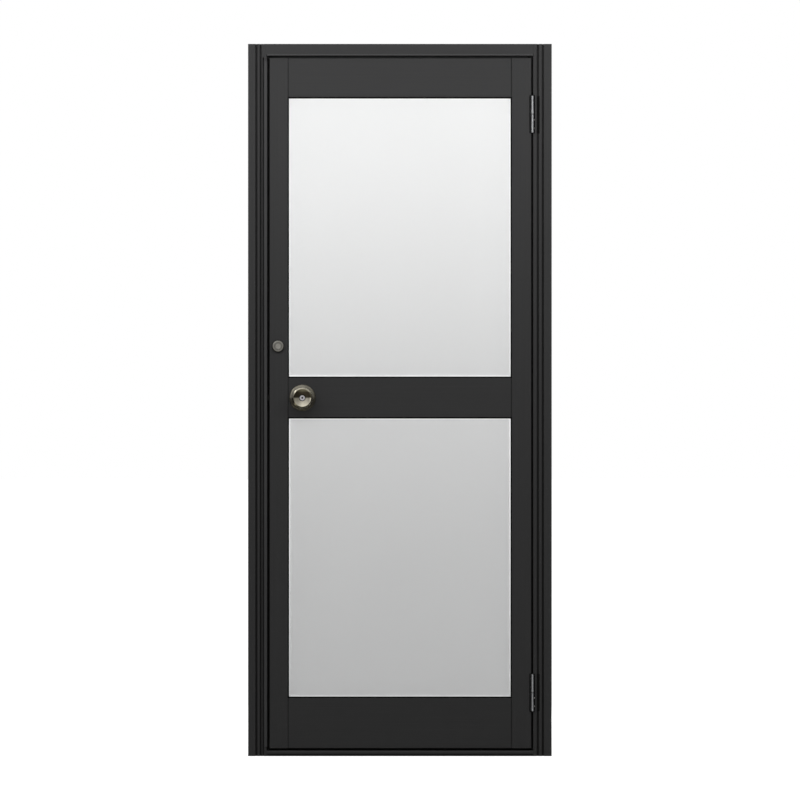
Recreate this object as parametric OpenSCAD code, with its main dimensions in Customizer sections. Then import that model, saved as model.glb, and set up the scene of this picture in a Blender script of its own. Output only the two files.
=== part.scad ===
// Glazed aluminium service door with one leaf, hung in its own frame and opening outwards.
// The origin is the middle of the sill's underside. +X points to the hinges, +Y indoors and +Z up.

/* [Frame] */
// Overall width of the frame
frame_w = 785; // [740:1:1000]
// Overall height of the frame
frame_h = 1841; // [1600:1:2200]
// Depth of the frame, from its outer face to its indoor face
frame_d = 70; // [64:1:110]
// Wall thickness of the frame extrusions
frame_wall = 2; // [1.4:0.1:2.4]
// Width of each jamb in front of its stop
jamb_face_w = 48; // [47.5:0.5:60]
// Height of the head in front of its stop
head_face_h = 30.5; // [24:0.5:45]
// Height of the sill in front of its stop
sill_face_h = 14; // [13.5:0.5:24]
// Rise of the sill's top from its front edge to its stop
sill_fall = 2; // [0:0.5:4]
// Reach of the jamb and head stops past their front part
stop_reach = 16; // [14:0.5:18]
// Height of the sill's stop over its front edge
sill_stop_reach = 21.5; // [18:0.5:26]
// Depth of the rebate that the leaf closes into
rebate_d = 36; // [35.5:0.5:42]
// Chamfer along the edges of the front faces
frame_chamfer = 0.6; // [0.2:0.1:1]

/* [Jamb faces] */
// Depth of the grooves in the jamb faces
face_groove_d = 7; // [2:0.5:9]
// Width of the latch jamb's outer band
latch_band_w = 18.9; // [14:0.1:19]
// Width of the latch jamb's outer groove
latch_groove_w = 5.2; // [3:0.1:5.3]
// Width of the latch jamb's ridge
latch_ridge_w = 6.2; // [4:0.1:6.3]
// Width of the latch jamb's inner groove
latch_slot_w = 4.4; // [2:0.1:4.5]
// Width of the latch jamb's rib beside the cover strip
latch_rib_w = 3.2; // [2.4:0.1:3.3]
// Width of the shadow groove beside the cover strip
strip_groove_w = 2.6; // [1.5:0.1:2.7]
// Width of the hinge jamb's outer band
hinge_band_w = 20.4; // [14:0.1:21]
// Width of the hinge jamb's outer groove
hinge_groove_w = 5.1; // [3:0.1:5.5]
// Width of the hinge jamb's ridge
hinge_ridge_w = 7.8; // [4:0.1:8]
// Width of the hinge jamb's inner groove
hinge_slot_w = 5.2; // [2:0.1:5.5]

/* [Head and sill faces] */
// Height of the drip lip along the head's lower edge
head_lip_h = 4.5; // [3:0.5:8]
// Reach of the drip lip in front of the head
head_lip_d = 2; // [1:0.5:3]
// Height of the sill's lower lip
sill_lip_h = 3; // [2:0.5:4]
// Height of the groove over the sill's lower lip
sill_groove_h = 3; // [1.5:0.5:4]

/* [Cover strip] */
// Width of the cover strip on the latch jamb
strip_w = 8.4; // [6:0.1:8.6]
// Height that the cover strip stands in front of the jamb
strip_t = 2.6; // [1.5:0.1:4]
// Step along the edges of the cover strip
strip_step = 1.2; // [0.3:0.1:1.5]
// Overhang of the cover strip past the jamb's inner edge
strip_overhang = 1.5; // [0:0.1:2]
// Height of the cover strip's lower end
strip_bottom_z = 24; // [10:1:60]
// Distance of the cover strip's upper end from the frame's top
strip_top_gap = 43; // [34:1:80]

/* [Weatherstrip] */
// Width of the weatherstrip's bulb
seal_w = 5.4; // [4:0.2:6]
// Width of the weatherstrip's foot
seal_foot_w = 2.6; // [1.6:0.2:3]
// Distance of the weatherstrip's middle from the edge of its stop
seal_inset = 5; // [4:0.5:6]

/* [Leaf] */
// Gap between the latch jamb and the leaf
latch_gap = 7.6; // [6:0.1:9]
// Gap between the leaf and the hinge jamb
hinge_gap = 4.8; // [4.8:0.1:8]
// Gap between the head and the leaf
head_gap = 6.4; // [3:0.1:8]
// Gap between the leaf and the sill
sill_gap = 6.4; // [4:0.1:10]
// Thickness of the leaf
leaf_t = 30; // [28:0.5:31]
// Distance of the leaf's outer face behind the frame's
leaf_setback = 2; // [1:0.5:3]
// Width of the latch stile
latch_stile_w = 46.8; // [46.3:0.1:70]
// Width of the hinge stile
hinge_stile_w = 49.9; // [40:0.1:70]
// Height of the top rail
top_rail_h = 100; // [60:0.5:140]
// Height of the middle rail
mid_rail_h = 101.3; // [100:0.1:160]
// Height of the bottom rail
bottom_rail_h = 129; // [60:0.5:200]
// Wall thickness of the leaf extrusions
leaf_wall = 1.6; // [1.2:0.1:2]
// Radius along the outer edges of the stiles and rails
leaf_edge_r = 1.2; // [0.4:0.1:1.5]
// Thickness of the plastic caps in the ends of the stiles
end_cap_t = 1.5; // [1:0.1:1.6]

/* [Glazing] */
// Thickness of the glass
glass_t = 4; // [3:0.5:6]
// Depth that the glass enters the stiles and rails
glass_bite = 7; // [5:0.5:7.5]
// Thickness of the lip in front of the glazing groove
front_lip_t = 5; // [4.5:0.5:8]
// Width of the glazing groove
glazing_groove_w = 12; // [11:0.5:16]
// Depth of the glazing groove
glazing_groove_d = 10; // [9.5:0.5:10.5]
// Thickness of the channel gasket where it shows
gasket_lip_t = 9; // [7:0.5:10]
// Width of the channel gasket that shows round the glass
gasket_sight_w = 5.8; // [2:0.1:7]
// Depth in the groove from which the channel gasket fills its width
gasket_grip_d = 4; // [3:0.5:5]
// Thickness of the channel gasket past the glass's edge
gasket_heel_t = 1.5; // [1:0.5:2]

/* [Hinges] */
// Distance of the upper hinge's middle from the leaf's top
upper_hinge_inset = 145; // [100:0.5:250]
// Distance of the lower hinge's middle from the leaf's foot
lower_hinge_inset = 143; // [100:0.5:250]
// Length of a hinge's barrel
hinge_len = 95; // [70:1:120]
// Diameter of the beads at the ends of each knuckle
bead_d = 9.6; // [9:0.2:11]
// Diameter of each knuckle between its beads
knuckle_d = 8.2; // [7.8:0.2:8.8]
// Length of each bead
bead_l = 5.5; // [3:0.5:8]
// Diameter of the hinge pins
hinge_pin_d = 5; // [4:0.1:5.2]
// Distance of the hinge axis in front of the leaf's outer face
hinge_axis_out = 3; // [2.5:0.5:5]
// Thickness of the hinge plates
hinge_plate_t = 2; // [1.5:0.1:2.2]
// Reach of the hinge plates behind the hinge axis
hinge_plate_reach = 27; // [22:0.5:30]
// Thickness of the bearing washer between the knuckles
washer_t = 1.5; // [1:0.1:2]
// Diameter of the bearing washer
washer_d = 7.4; // [6.4:0.2:8]
// Room round the barrel in the notches of the leaf and the jamb
notch_room = 2; // [1:0.1:2.5]

/* [Knob] */
// Distance of the knob's axis from the leaf's latch edge
knob_backset = 85.1; // [84:0.1:100]
// Height of the knob's axis over the middle rail's lower edge
knob_rise = 50; // [48:0.5:55]
// Diameter of the knob
knob_d = 53; // [46:0.5:60]
// Length of the knob in front of the leaf, to its rim
knob_len = 42; // [38:0.5:60]
// Radius of the crowned bevel round the dish
knob_bevel_r = 13; // [10:0.5:16]
// Radius of the corner between the bevel and the belt
knob_corner_r = 1.2; // [0.6:0.1:2]
// Diameter of the knob's neck
knob_neck_d = 24; // [20:0.5:28]
// Length of the knob's neck
knob_neck_l = 13; // [10:0.5:18]
// Length of the knob's straight belt
knob_belt_l = 3; // [1:0.5:8]
// Depth of the dish in the knob's face
dish_depth = 4.5; // [2:0.5:6]
// Diameter of the dark collar round the key plug
key_collar_d = 17; // [15:0.5:20]
// Depth of the dark collar
key_collar_t = 3; // [2:0.5:5]
// Diameter of the key plug
key_plug_d = 13; // [10:0.5:14]
// Length of the key plug
key_plug_l = 14; // [10:0.5:18]
// Height that the key plug stands over the bottom of the dish
key_plug_out = 0.8; // [0.3:0.1:2]
// Diameter of the keyhole's round mouth
keyhole_d = 4; // [2:0.5:5]
// Length of the keyway
keyway_l = 8; // [5:0.5:9]
// Width of the keyway
keyway_w = 1.4; // [0.8:0.1:2]
// Depth of the keyhole
keyhole_depth = 4; // [1:0.5:8]
// Diameter of the roses on both faces of the leaf
rose_d = 69; // [62:0.5:76]
// Height of the roses
rose_t = 7; // [5:0.5:10]
// Diameter of the flat top of the roses
rose_top_d = 44; // [40:0.5:56]
// Wall thickness of the roses
rose_wall = 1.5; // [1:0.1:2]
// Length that the inner turn button stands out of the inner knob
turn_button_l = 9; // [6:0.5:14]
// Thickness of the inner turn button's grip
turn_button_t = 4; // [3:0.5:6]

/* [Knob lock] */
// Diameter of the lock chassis in the middle rail
chassis_d = 54; // [52:0.5:56]
// Wall thickness of the lock chassis
chassis_wall = 1.8; // [1.2:0.1:2.4]
// Diameter of the hollow spindle
spindle_d = 10; // [9:0.2:10.4]
// Depth that the spindle enters each knob
spindle_seat = 10.5; // [6:0.5:11]
// Diameter of the tailpiece in the spindle
tailpiece_d = 5; // [4:0.2:6]
// Travel of the latch bolt
latch_throw = 13; // [11:0.5:13]
// Turn of the knob that draws the latch bolt in fully
knob_turn_angle = 60; // [45:1:60]
// Diameter of the drive pins in the cams
drive_pin_d = 4; // [3:0.2:4]
// Thickness of the cams
cam_t = 2.5; // [1.5:0.1:3]
// Thickness of the latch's yoke
yoke_t = 4; // [3:0.5:5]
// Width of the latch bolt's head, across the leaf
latch_head_w = 12; // [10:0.5:12]
// Height of the latch bolt's head
latch_head_h = 14; // [10:0.5:14]
// Length of the latch bolt's head
latch_head_l = 25; // [20:0.5:27]
// Diameter of the latch bolt's rod
latch_rod_d = 6; // [4:0.5:7]
// Outer diameter of the latch case
latch_case_d = 22; // [21.6:0.1:24]
// Wall thickness of the latch case
latch_case_wall = 1.5; // [1:0.1:1.5]
// Length of the latch case behind the leaf's edge
latch_case_l = 41; // [40:0.5:48]
// Diameter of the latch spring
latch_spring_d = 14; // [10:0.5:16]
// Diameter of the latch spring's wire
latch_spring_wire_d = 1.2; // [0.8:0.1:1.6]
// Turns of the latch spring
latch_spring_turns = 7; // [4:1:9]

/* [Auxiliary lock] */
// Distance of the auxiliary lock's axis from the leaf's latch edge
lock_backset = 22.2; // [22:0.1:23]
// Height of the auxiliary lock's axis over the knob's
lock_rise = 133.3; // [110:0.5:300]
// Diameter of the auxiliary lock's collar
lock_collar_d = 30.5; // [27:0.5:34]
// Height of the auxiliary lock's collar
lock_collar_t = 8; // [5:0.5:12]
// Diameter of the collar's flat front
lock_front_d = 26; // [22:0.5:27]
// Diameter of the auxiliary lock's body in the stile
lock_body_d = 23; // [21:0.5:24]
// Diameter of the auxiliary lock's plug
lock_plug_d = 17.4; // [14:0.2:18]
// Diameter of the raised middle of the plug
lock_centre_d = 11.6; // [9:0.2:13]
// Height of the raised middle of the plug
lock_centre_t = 1; // [0.5:0.1:1.5]
// Depth of the plug's rim below the collar's front
lock_plug_sink = 0.8; // [0.3:0.1:1.5]
// Travel of the deadbolt
deadbolt_throw = 13; // [10:0.5:13]
// Turn of the key or the thumb-turn that throws the deadbolt
deadbolt_turn_angle = 90; // [80:1:90]
// Height of the deadbolt
deadbolt_h = 16; // [12:0.5:18]
// Thickness of the deadbolt
deadbolt_t = 8; // [6:0.5:8]
// Height of the deadbolt's underside over the lock's axis
deadbolt_rise = 4.4; // [3.8:0.1:4.6]
// Thickness of the deadbolt case's walls
deadbolt_case_wall = 1; // [0.8:0.1:1]
// Width of the deadbolt case across the leaf
deadbolt_case_w = 17; // [16.8:0.1:18]
// Diameter of the thumb-turn's rose
turn_rose_d = 24; // [20:0.5:24.5]
// Height of the thumb-turn's rose
turn_rose_t = 5; // [3:0.5:8]
// Diameter of the thumb-turn's hub
turn_hub_d = 12; // [10:0.5:14]
// Length of the thumb-turn's grip
turn_grip_l = 22; // [16:0.5:23]
// Thickness of the thumb-turn's grip
turn_grip_t = 7; // [5:0.5:9]
// Height of the thumb-turn over its rose
turn_grip_h = 15; // [10:0.5:20]

/* [Plates and screws] */
// Width of the faceplates and strikes
plate_w = 24; // [22:0.5:26]
// Height of the latch's faceplate and strike
latch_plate_h = 56; // [50:1:56]
// Height of the deadbolt's faceplate and strike
deadbolt_plate_h = 64; // [62:1:72]
// Thickness of the faceplates and strikes
plate_t = 1.5; // [1:0.1:2]
// Distance of the plate screws from the plates' ends
plate_screw_inset = 8; // [6.5:0.5:9]
// Clearance round the bolts in the faceplates
bolt_clearance = 0.3; // [0.3:0.1:0.5]
// Clearance round the bolts in the strikes
strike_clearance = 1.5; // [1:0.1:2]
// Diameter of the countersunk screws
csk_screw_d = 4; // [3:0.1:4]
// Diameter of the countersunk screw heads
csk_head_d = 7; // [6:0.1:7]
// Length of the countersunk screws
csk_screw_l = 11; // [8:0.5:12]
// Diameter of the corner screws
corner_screw_d = 4.2; // [3.6:0.1:5]
// Diameter of the corner screws' heads
corner_head_d = 6.6; // [6:0.1:6.6]
// Height of the corner screws' heads
corner_head_h = 2.8; // [2:0.1:4]
// Grip of the corner screws in their ports
corner_grip = 18; // [12:1:30]
// Outer diameter of the screw ports in the rails, head and sill
port_d = 8; // [7.4:0.1:8.4]
// Diameter of the holes that the corner screws are reached through
access_d = 9; // [8.8:0.1:9.6]
// Diameter of the fixing holes in the jambs
fixing_hole_d = 5.2; // [4:0.1:6.5]
// Distance of the outer fixing holes from the ends of the jambs
fixing_inset = 150; // [100:5:250]
// Distance between the inner fixing holes of a jamb
fixing_span = 520; // [300:5:700]

/* [Hidden] */
$fn = 64;

overrun = 1;
moving_gap = 0.3;
running_gap = 0.08;
arc_steps = 10;
coil_sides = 6;
coil_steps = 16;
port_sink = 0.6;
recess_d = 2.6;
recess_w = 0.8;
recess_depth = 1.2;
seal_bulb_share = 0.55;
waist_share = 0.35;
hinge_screw_shares = [0.28, 0.75];
fine_edge = 0.8;
drive_room = 0.4;
rose_head_d = 5.6;
rose_head_h = 2;
charcoal = "#3a3a3c";
light_charcoal = "#4c4c4e";
bright_steel = "#a8a8a6";
satin_nickel = "#7d7c77";
polished_bronze = "#a08a68";
dark_rubber = "#1c1c1d";
black_steel = "#2c2c2d";
frosted = [0.86, 0.87, 0.87, 0.8];

front_y = -frame_d / 2;
stop_y = front_y + rebate_d;
jamb_x = frame_w / 2 - jamb_face_w;
stop_x = jamb_x - stop_reach;
leaf_x0 = -jamb_x + latch_gap;
leaf_x1 = jamb_x - hinge_gap;
leaf_z0 = sill_face_h + sill_gap;
leaf_z1 = frame_h - head_face_h - head_gap;
leaf_y0 = front_y + leaf_setback;
leaf_y1 = leaf_y0 + leaf_t;
leaf_mid_y = (leaf_y0 + leaf_y1) / 2;
glass_y = leaf_y0 + front_lip_t + glazing_groove_w / 2;
leaf_h = leaf_z1 - leaf_z0;
seal_t = stop_y - leaf_y1 - moving_gap;
seal_x = stop_x + seal_inset;
seal_z0 = sill_face_h + sill_stop_reach - seal_inset;
seal_z1 = frame_h - head_face_h - stop_reach + seal_inset;

rail_x0 = leaf_x0 + latch_stile_w;
rail_x1 = leaf_x1 - hinge_stile_w;
pane_h = (leaf_h - top_rail_h - mid_rail_h - bottom_rail_h) / 2;
mid_rail_z = leaf_z0 + bottom_rail_h + pane_h;
top_rail_z = leaf_z1 - top_rail_h;
lower_pane_z = leaf_z0 + bottom_rail_h;
upper_pane_z = mid_rail_z + mid_rail_h;
back_lip_t = leaf_t - front_lip_t - glazing_groove_w;
glazing_web = glazing_groove_d + leaf_wall;

hinge_x = (leaf_x1 + jamb_x) / 2;
hinge_y = leaf_y0 - hinge_axis_out;
hinge_zs = [leaf_z0 + lower_hinge_inset, leaf_z1 - upper_hinge_inset];
knuckle_l = (hinge_len - washer_t - moving_gap) / 2;
notch_r = bead_d / 2 + notch_room;
hinge_screw_y = hinge_y + (notch_r + hinge_plate_reach) / 2;

knob_x = leaf_x0 + knob_backset;
knob_z = mid_rail_z + knob_rise;
rim_angle = 62;
corner_angle = 43;
bevel_w = knob_bevel_r * (cos(corner_angle) - cos(rim_angle));
bevel_h = knob_bevel_r * (sin(rim_angle) - sin(corner_angle));
knob_belly_h = knob_len - knob_belt_l - bevel_h - knob_corner_r * sin(corner_angle);
rim_r = knob_d / 2 - knob_corner_r * (1 - cos(corner_angle)) - bevel_w;
dish_r = (rim_r * rim_r + dish_depth * dish_depth) / (2 * dish_depth);
dish_floor = knob_len - dish_depth;
plug_floor = dish_floor + key_plug_out - key_plug_l;
cam_pin_r = latch_throw / (2 * sin(knob_turn_angle / 2));
cam_pin_low = cam_pin_r * cos(knob_turn_angle / 2);
chassis_room_r = chassis_d / 2 - chassis_wall;
yoke_r = chassis_room_r - fine_edge;
yoke_slot_w = drive_pin_d + 2 * moving_gap;

lock_x = leaf_x0 + lock_backset;
lock_z = knob_z + lock_rise;
bolt_pin_r = deadbolt_throw / (2 * sin(deadbolt_turn_angle / 2));
bolt_pin_x = deadbolt_throw / 2;
bolt_slot_w = drive_pin_d + 2 * drive_room;
deadbolt_z = lock_z + deadbolt_rise;
deadbolt_tail = bolt_pin_x + bolt_slot_w / 2 + deadbolt_case_wall;
deadbolt_mid_z = deadbolt_z + deadbolt_h / 2;

// Outlines

function arc_points(centre, r, start, end) = [
    for (i = [0:arc_steps])
        let (a = start + (end - start) * i / arc_steps)
        [centre[0] + r * cos(a), centre[1] + r * sin(a)]
];

function ellipse_points(centre, rx, ry, start, end) = [
    for (i = [0:arc_steps])
        let (a = start + (end - start) * i / arc_steps)
        [centre[0] + rx * cos(a), centre[1] + ry * sin(a)]
];

// A groove across a front face, with its two edges chamfered
function groove_points(start, w) = [
    [start - frame_chamfer, 0], [start, frame_chamfer],
    [start, face_groove_d], [start + w, face_groove_d],
    [start + w, frame_chamfer], [start + w + frame_chamfer, 0]
];

module rounded_section(w, h, r) {
    polygon(concat(
        arc_points([r, r], r, 180, 270),
        arc_points([w - r, r], r, 270, 360),
        arc_points([w - r, h - r], r, 0, 90),
        arc_points([r, h - r], r, 90, 180)
    ));
}

// Runs a profile along X from x0 to x1, with its first axis up and its second axis indoors
module along_x(x0, x1) {
    translate([x1, 0, 0])
        rotate([0, -90, 0])
            linear_extrude(x1 - x0)
                children();
}

module outwards() {
    rotate([90, 0, 0]) children();
}

module inwards() {
    rotate([-90, 0, 0]) children();
}

// A box round a pane's opening, grown by e on its four sides and t thick, on the glass's middle plane
module pane_slab(pane_z, e, t) {
    translate([rail_x0 - e, glass_y - t / 2, pane_z - e])
        cube([rail_x1 - rail_x0 + 2 * e, t, pane_h + 2 * e]);
}

// Frame extrusions

// The profile that jambs, head and sill share: across from the wall, depth from the outer face.
// The front chamber reaches into each of the bands that stand between the grooves.
module frame_section(face_w, reach, fall, front_points, front_d, bands) {
    difference() {
        polygon(concat(front_points, [
            [face_w + fall, rebate_d],
            [face_w + reach, rebate_d],
            [face_w + reach, frame_d],
            [0, frame_d]
        ]));
        translate([frame_wall, front_d + frame_wall])
            square([face_w - 2 * frame_wall, rebate_d - front_d - frame_wall]);
        for (band = bands)
            translate([band[0] + frame_wall, frame_wall])
                square([band[1] - 2 * frame_wall, front_d + overrun]);
        translate([frame_wall, rebate_d + frame_wall])
            square([face_w + reach - 2 * frame_wall, frame_d - rebate_d - 2 * frame_wall]);
        translate([face_w + reach - seal_inset - seal_foot_w / 2, rebate_d - overrun])
            square([seal_foot_w, frame_wall + 2 * overrun]);
    }
}

port_reach = port_d / 2 - port_sink;
port_across = frame_wall + port_reach;
port_depths = [rebate_d - port_reach, frame_d - frame_wall - port_reach];

// The same profile with a screw port in each chamber
module ported_section(face_w, reach, fall, front_points, front_d, bands) {
    difference() {
        union() {
            frame_section(face_w, reach, fall, front_points, front_d, bands);
            for (v = port_depths) translate([port_across, v]) circle(d = port_d);
        }
        for (v = port_depths) translate([port_across, v]) circle(d = corner_screw_d);
    }
}

latch_groove_at = latch_band_w;
latch_slot_at = latch_groove_at + latch_groove_w + latch_ridge_w;
strip_groove_at = latch_slot_at + latch_slot_w + latch_rib_w;
hinge_groove_at = hinge_band_w;
hinge_slot_at = hinge_groove_at + hinge_groove_w + hinge_ridge_w;

module latch_jamb_section() {
    front_points = concat(
        [[0, frame_chamfer], [frame_chamfer, 0]],
        groove_points(latch_groove_at, latch_groove_w),
        groove_points(latch_slot_at, latch_slot_w),
        groove_points(strip_groove_at, strip_groove_w),
        [[jamb_face_w, 0]]
    );
    bands = [
        [0, latch_band_w],
        [latch_groove_at + latch_groove_w, latch_ridge_w],
        [strip_groove_at + strip_groove_w, jamb_face_w - strip_groove_at - strip_groove_w]
    ];
    frame_section(jamb_face_w, stop_reach, 0, front_points, face_groove_d, bands);
}

module hinge_jamb_section() {
    front_points = concat(
        [[0, frame_chamfer], [frame_chamfer, 0]],
        groove_points(hinge_groove_at, hinge_groove_w),
        groove_points(hinge_slot_at, hinge_slot_w),
        [[jamb_face_w - frame_chamfer, 0], [jamb_face_w, frame_chamfer]]
    );
    bands = [
        [0, hinge_band_w],
        [hinge_groove_at + hinge_groove_w, hinge_ridge_w],
        [hinge_slot_at + hinge_slot_w, jamb_face_w - hinge_slot_at - hinge_slot_w]
    ];
    frame_section(jamb_face_w, stop_reach, 0, front_points, face_groove_d, bands);
}

module head_section() {
    front_points = [
        [0, frame_chamfer], [frame_chamfer, 0],
        [head_face_h - head_lip_h, 0],
        [head_face_h - head_lip_h / 2, -head_lip_d],
        [head_face_h, -head_lip_d],
        [head_face_h, 0]
    ];
    ported_section(head_face_h, stop_reach, 0, front_points, 0, []);
}

module sill_section() {
    groove_top = sill_lip_h + sill_groove_h;
    front_points = [
        [0, 0], [sill_lip_h, 0],
        [sill_lip_h, face_groove_d], [groove_top, face_groove_d],
        [groove_top, 0], [sill_face_h - frame_chamfer, 0], [sill_face_h, frame_chamfer]
    ];
    ported_section(sill_face_h, sill_stop_reach, sill_fall, front_points, face_groove_d,
        [[groove_top, sill_face_h - groove_top]]);
}

corner_zs = [port_across, frame_h - port_across];
fixing_y = front_y + (rebate_d + frame_d) / 2;
fixing_zs = [
    fixing_inset, (frame_h - fixing_span) / 2,
    (frame_h + fixing_span) / 2, frame_h - fixing_inset
];

// Holes through a jamb, drawn for the jamb on the +X side
module jamb_holes() {
    inner_faces = [jamb_x, stop_x];
    for (z = fixing_zs)
        translate([stop_x - overrun, fixing_y, z])
            rotate([0, 90, 0])
                cylinder(h = frame_w / 2 - stop_x + 2 * overrun, d = fixing_hole_d);
    for (z = corner_zs, i = [0, 1])
        translate([inner_faces[i] - overrun, front_y + port_depths[i], z])
            rotate([0, 90, 0]) {
                cylinder(h = frame_wall + 2 * overrun, d = corner_screw_d);
                translate([0, 0, frame_w / 2 - inner_faces[i] - frame_wall])
                    cylinder(h = frame_wall + 2 * overrun, d = access_d);
            }
}

module latch_jamb() {
    color(charcoal)
        difference() {
            translate([-frame_w / 2, front_y, 0])
                linear_extrude(frame_h) latch_jamb_section();
            mirror([1, 0, 0]) jamb_holes();
            strike_pocket(knob_z, latch_head_w, latch_head_h);
            strike_pocket(deadbolt_mid_z, deadbolt_t, deadbolt_h);
            for (z = strike_screw_zs)
                translate([-jamb_x + overrun, leaf_mid_y, z])
                    rotate([0, -90, 0])
                        cylinder(h = frame_wall + 2 * overrun, d = csk_screw_d);
        }
}

// The opening in the latch jamb behind a strike, a little wider than the strike's own
module strike_pocket(z, w, h) {
    room = 2 * strike_clearance + frame_wall;
    translate([-jamb_x - frame_wall - overrun, leaf_mid_y - (w + room) / 2, z - (h + room) / 2])
        cube([frame_wall + 2 * overrun, w + room, h + room]);
}

module hinge_jamb() {
    color(charcoal)
        difference() {
            translate([frame_w / 2, front_y, 0])
                mirror([1, 0, 0])
                    linear_extrude(frame_h) hinge_jamb_section();
            jamb_holes();
            for (z = hinge_zs) {
                barrel_notch(z);
                for (dz = hinge_screw_dzs)
                    translate([jamb_x - overrun, hinge_screw_y, z - washer_t / 2 - dz])
                        rotate([0, 90, 0])
                            cylinder(h = frame_wall + 2 * overrun, d = csk_screw_d);
            }
        }
}

// The notch for a hinge's barrel, cut from the leaf and from the jamb alike
module barrel_notch(z) {
    translate([hinge_x - notch_r, hinge_y - notch_r, z - hinge_len / 2 - notch_room])
        cube([2 * notch_r, 2 * notch_r, hinge_len + 2 * notch_room]);
}

// Head and sill are cut back behind, where the jambs' stops run through
module stop_notches(z0, z1) {
    for (side = [-1, 1])
        translate([side * (stop_x + jamb_x) / 2, stop_y + frame_d / 2, (z0 + z1) / 2])
            cube([jamb_x - stop_x, frame_d, z1 - z0 + 2 * overrun], center = true);
}

module head() {
    color(charcoal)
        difference() {
            translate([0, front_y, frame_h])
                mirror([0, 0, 1])
                    along_x(-jamb_x, jamb_x) head_section();
            stop_notches(frame_h - head_face_h - stop_reach, frame_h);
        }
}

module sill() {
    color(charcoal)
        difference() {
            translate([0, front_y, 0])
                along_x(-jamb_x, jamb_x) sill_section();
            stop_notches(0, sill_face_h + sill_stop_reach);
        }
}

// The strip covers the latch jamb's inner edge, and its upper end is round
module jamb_cover_strip() {
    strip_x = -jamb_x + strip_overhang - strip_w / 2;
    strip_top = frame_h - strip_top_gap;
    levels = [[strip_w, strip_t - strip_step], [strip_w - 2 * strip_step, strip_t]];
    color(light_charcoal)
        for (level = levels)
            translate([strip_x, front_y, 0])
                outwards()
                    linear_extrude(level[1]) {
                        translate([-level[0] / 2, strip_bottom_z])
                            square([level[0], strip_top - strip_bottom_z - strip_w / 2]);
                        translate([0, strip_top - strip_w / 2]) circle(d = level[0]);
                    }
}

// Weatherstrips

// A weatherstrip's profile: its foot fills the slot in the stop and its bulb bows towards the leaf
module seal_section() {
    bulb = seal_t * seal_bulb_share;
    polygon(concat(
        [[-seal_w / 2, 0]],
        ellipse_points([0, bulb - seal_t], seal_w / 2, bulb, 180, 360),
        [[seal_w / 2, 0], [seal_foot_w / 2, 0], [seal_foot_w / 2, frame_wall]],
        [[-seal_foot_w / 2, frame_wall], [-seal_foot_w / 2, 0]]
    ));
}

module upright_seal(x) {
    color(dark_rubber)
        translate([x, stop_y, seal_z0 - seal_w / 2])
            linear_extrude(seal_z1 - seal_z0 + seal_w) seal_section();
}

module level_seal(z) {
    color(dark_rubber)
        translate([0, stop_y, z])
            along_x(-stop_x, stop_x) seal_section();
}

module latch_side_seal() { upright_seal(-seal_x); }

module hinge_side_seal() { upright_seal(seal_x); }

module head_seal() { level_seal(seal_z1); }

module sill_seal() { level_seal(seal_z0); }

// Screws

// A countersunk screw along +Z, with the top of its head at zero
module csk_screw(l) {
    head_h = (csk_head_d - csk_screw_d) / 2;
    difference() {
        union() {
            cylinder(h = head_h, d1 = csk_head_d, d2 = csk_screw_d);
            cylinder(h = l, d = csk_screw_d);
        }
        cross_recess();
    }
}

module cross_recess() {
    for (size = [[recess_d, recess_w], [recess_w, recess_d]])
        translate([-size[0] / 2, -size[1] / 2, -overrun])
            cube([size[0], size[1], recess_depth + overrun]);
}

// The hole that a countersunk screw sits in, t deep
module csk_hole(t) {
    head_h = (csk_head_d - csk_screw_d) / 2;
    cylinder(h = head_h, d1 = csk_head_d, d2 = csk_screw_d);
    translate([0, 0, -overrun]) cylinder(h = t + 2 * overrun, d = csk_screw_d);
}

// A pan head screw along +Z, with the seat of its head at zero
module pan_screw(l) {
    difference() {
        union() {
            translate([0, 0, -corner_head_h]) cylinder(h = corner_head_h, d = corner_head_d);
            cylinder(h = l, d = corner_screw_d);
        }
        translate([0, 0, -corner_head_h]) cross_recess();
    }
}

module frame_corner_screws() {
    inner_faces = [jamb_x, stop_x];
    color(bright_steel)
        for (side = [-1, 1], z = corner_zs, i = [0, 1])
            translate([side * (inner_faces[i] + frame_wall), front_y + port_depths[i], z])
                rotate([0, -side * 90, 0])
                    pan_screw(frame_wall + corner_grip);
}

// Strikes and faceplates

latch_plate_screw_dz = latch_plate_h / 2 - plate_screw_inset;
deadbolt_plate_screw_dz = deadbolt_plate_h / 2 - plate_screw_inset;
strike_screw_zs = [
    knob_z - latch_plate_screw_dz, knob_z + latch_plate_screw_dz,
    deadbolt_mid_z - deadbolt_plate_screw_dz, deadbolt_mid_z + deadbolt_plate_screw_dz
];

// A round-ended plate facing -X from x, with a window for a bolt of w by h
module bolt_plate(x, z, plate_h, w, h, clearance, facing) {
    translate([x, leaf_mid_y, z])
        rotate([0, facing * 90, 0])
            difference() {
                linear_extrude(plate_t)
                    difference() {
                        union() {
                            square([plate_h - plate_w, plate_w], center = true);
                            for (side = [-1, 1])
                                translate([side * (plate_h - plate_w) / 2, 0]) circle(d = plate_w);
                        }
                        square([h + 2 * clearance, w + 2 * clearance], center = true);
                    }
                for (side = [-1, 1])
                    translate([side * (plate_h / 2 - plate_screw_inset), 0, plate_t])
                        mirror([0, 0, 1]) csk_hole(plate_t);
            }
}

module latch_strike() {
    color(black_steel)
        bolt_plate(-jamb_x, knob_z, latch_plate_h, latch_head_w, latch_head_h, strike_clearance, 1);
}

module deadbolt_strike() {
    color(black_steel)
        bolt_plate(-jamb_x, deadbolt_mid_z, deadbolt_plate_h, deadbolt_t, deadbolt_h,
            strike_clearance, 1);
}

module latch_faceplate() {
    color(black_steel)
        bolt_plate(leaf_x0, knob_z, latch_plate_h, latch_head_w, latch_head_h, bolt_clearance, -1);
}

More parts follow.
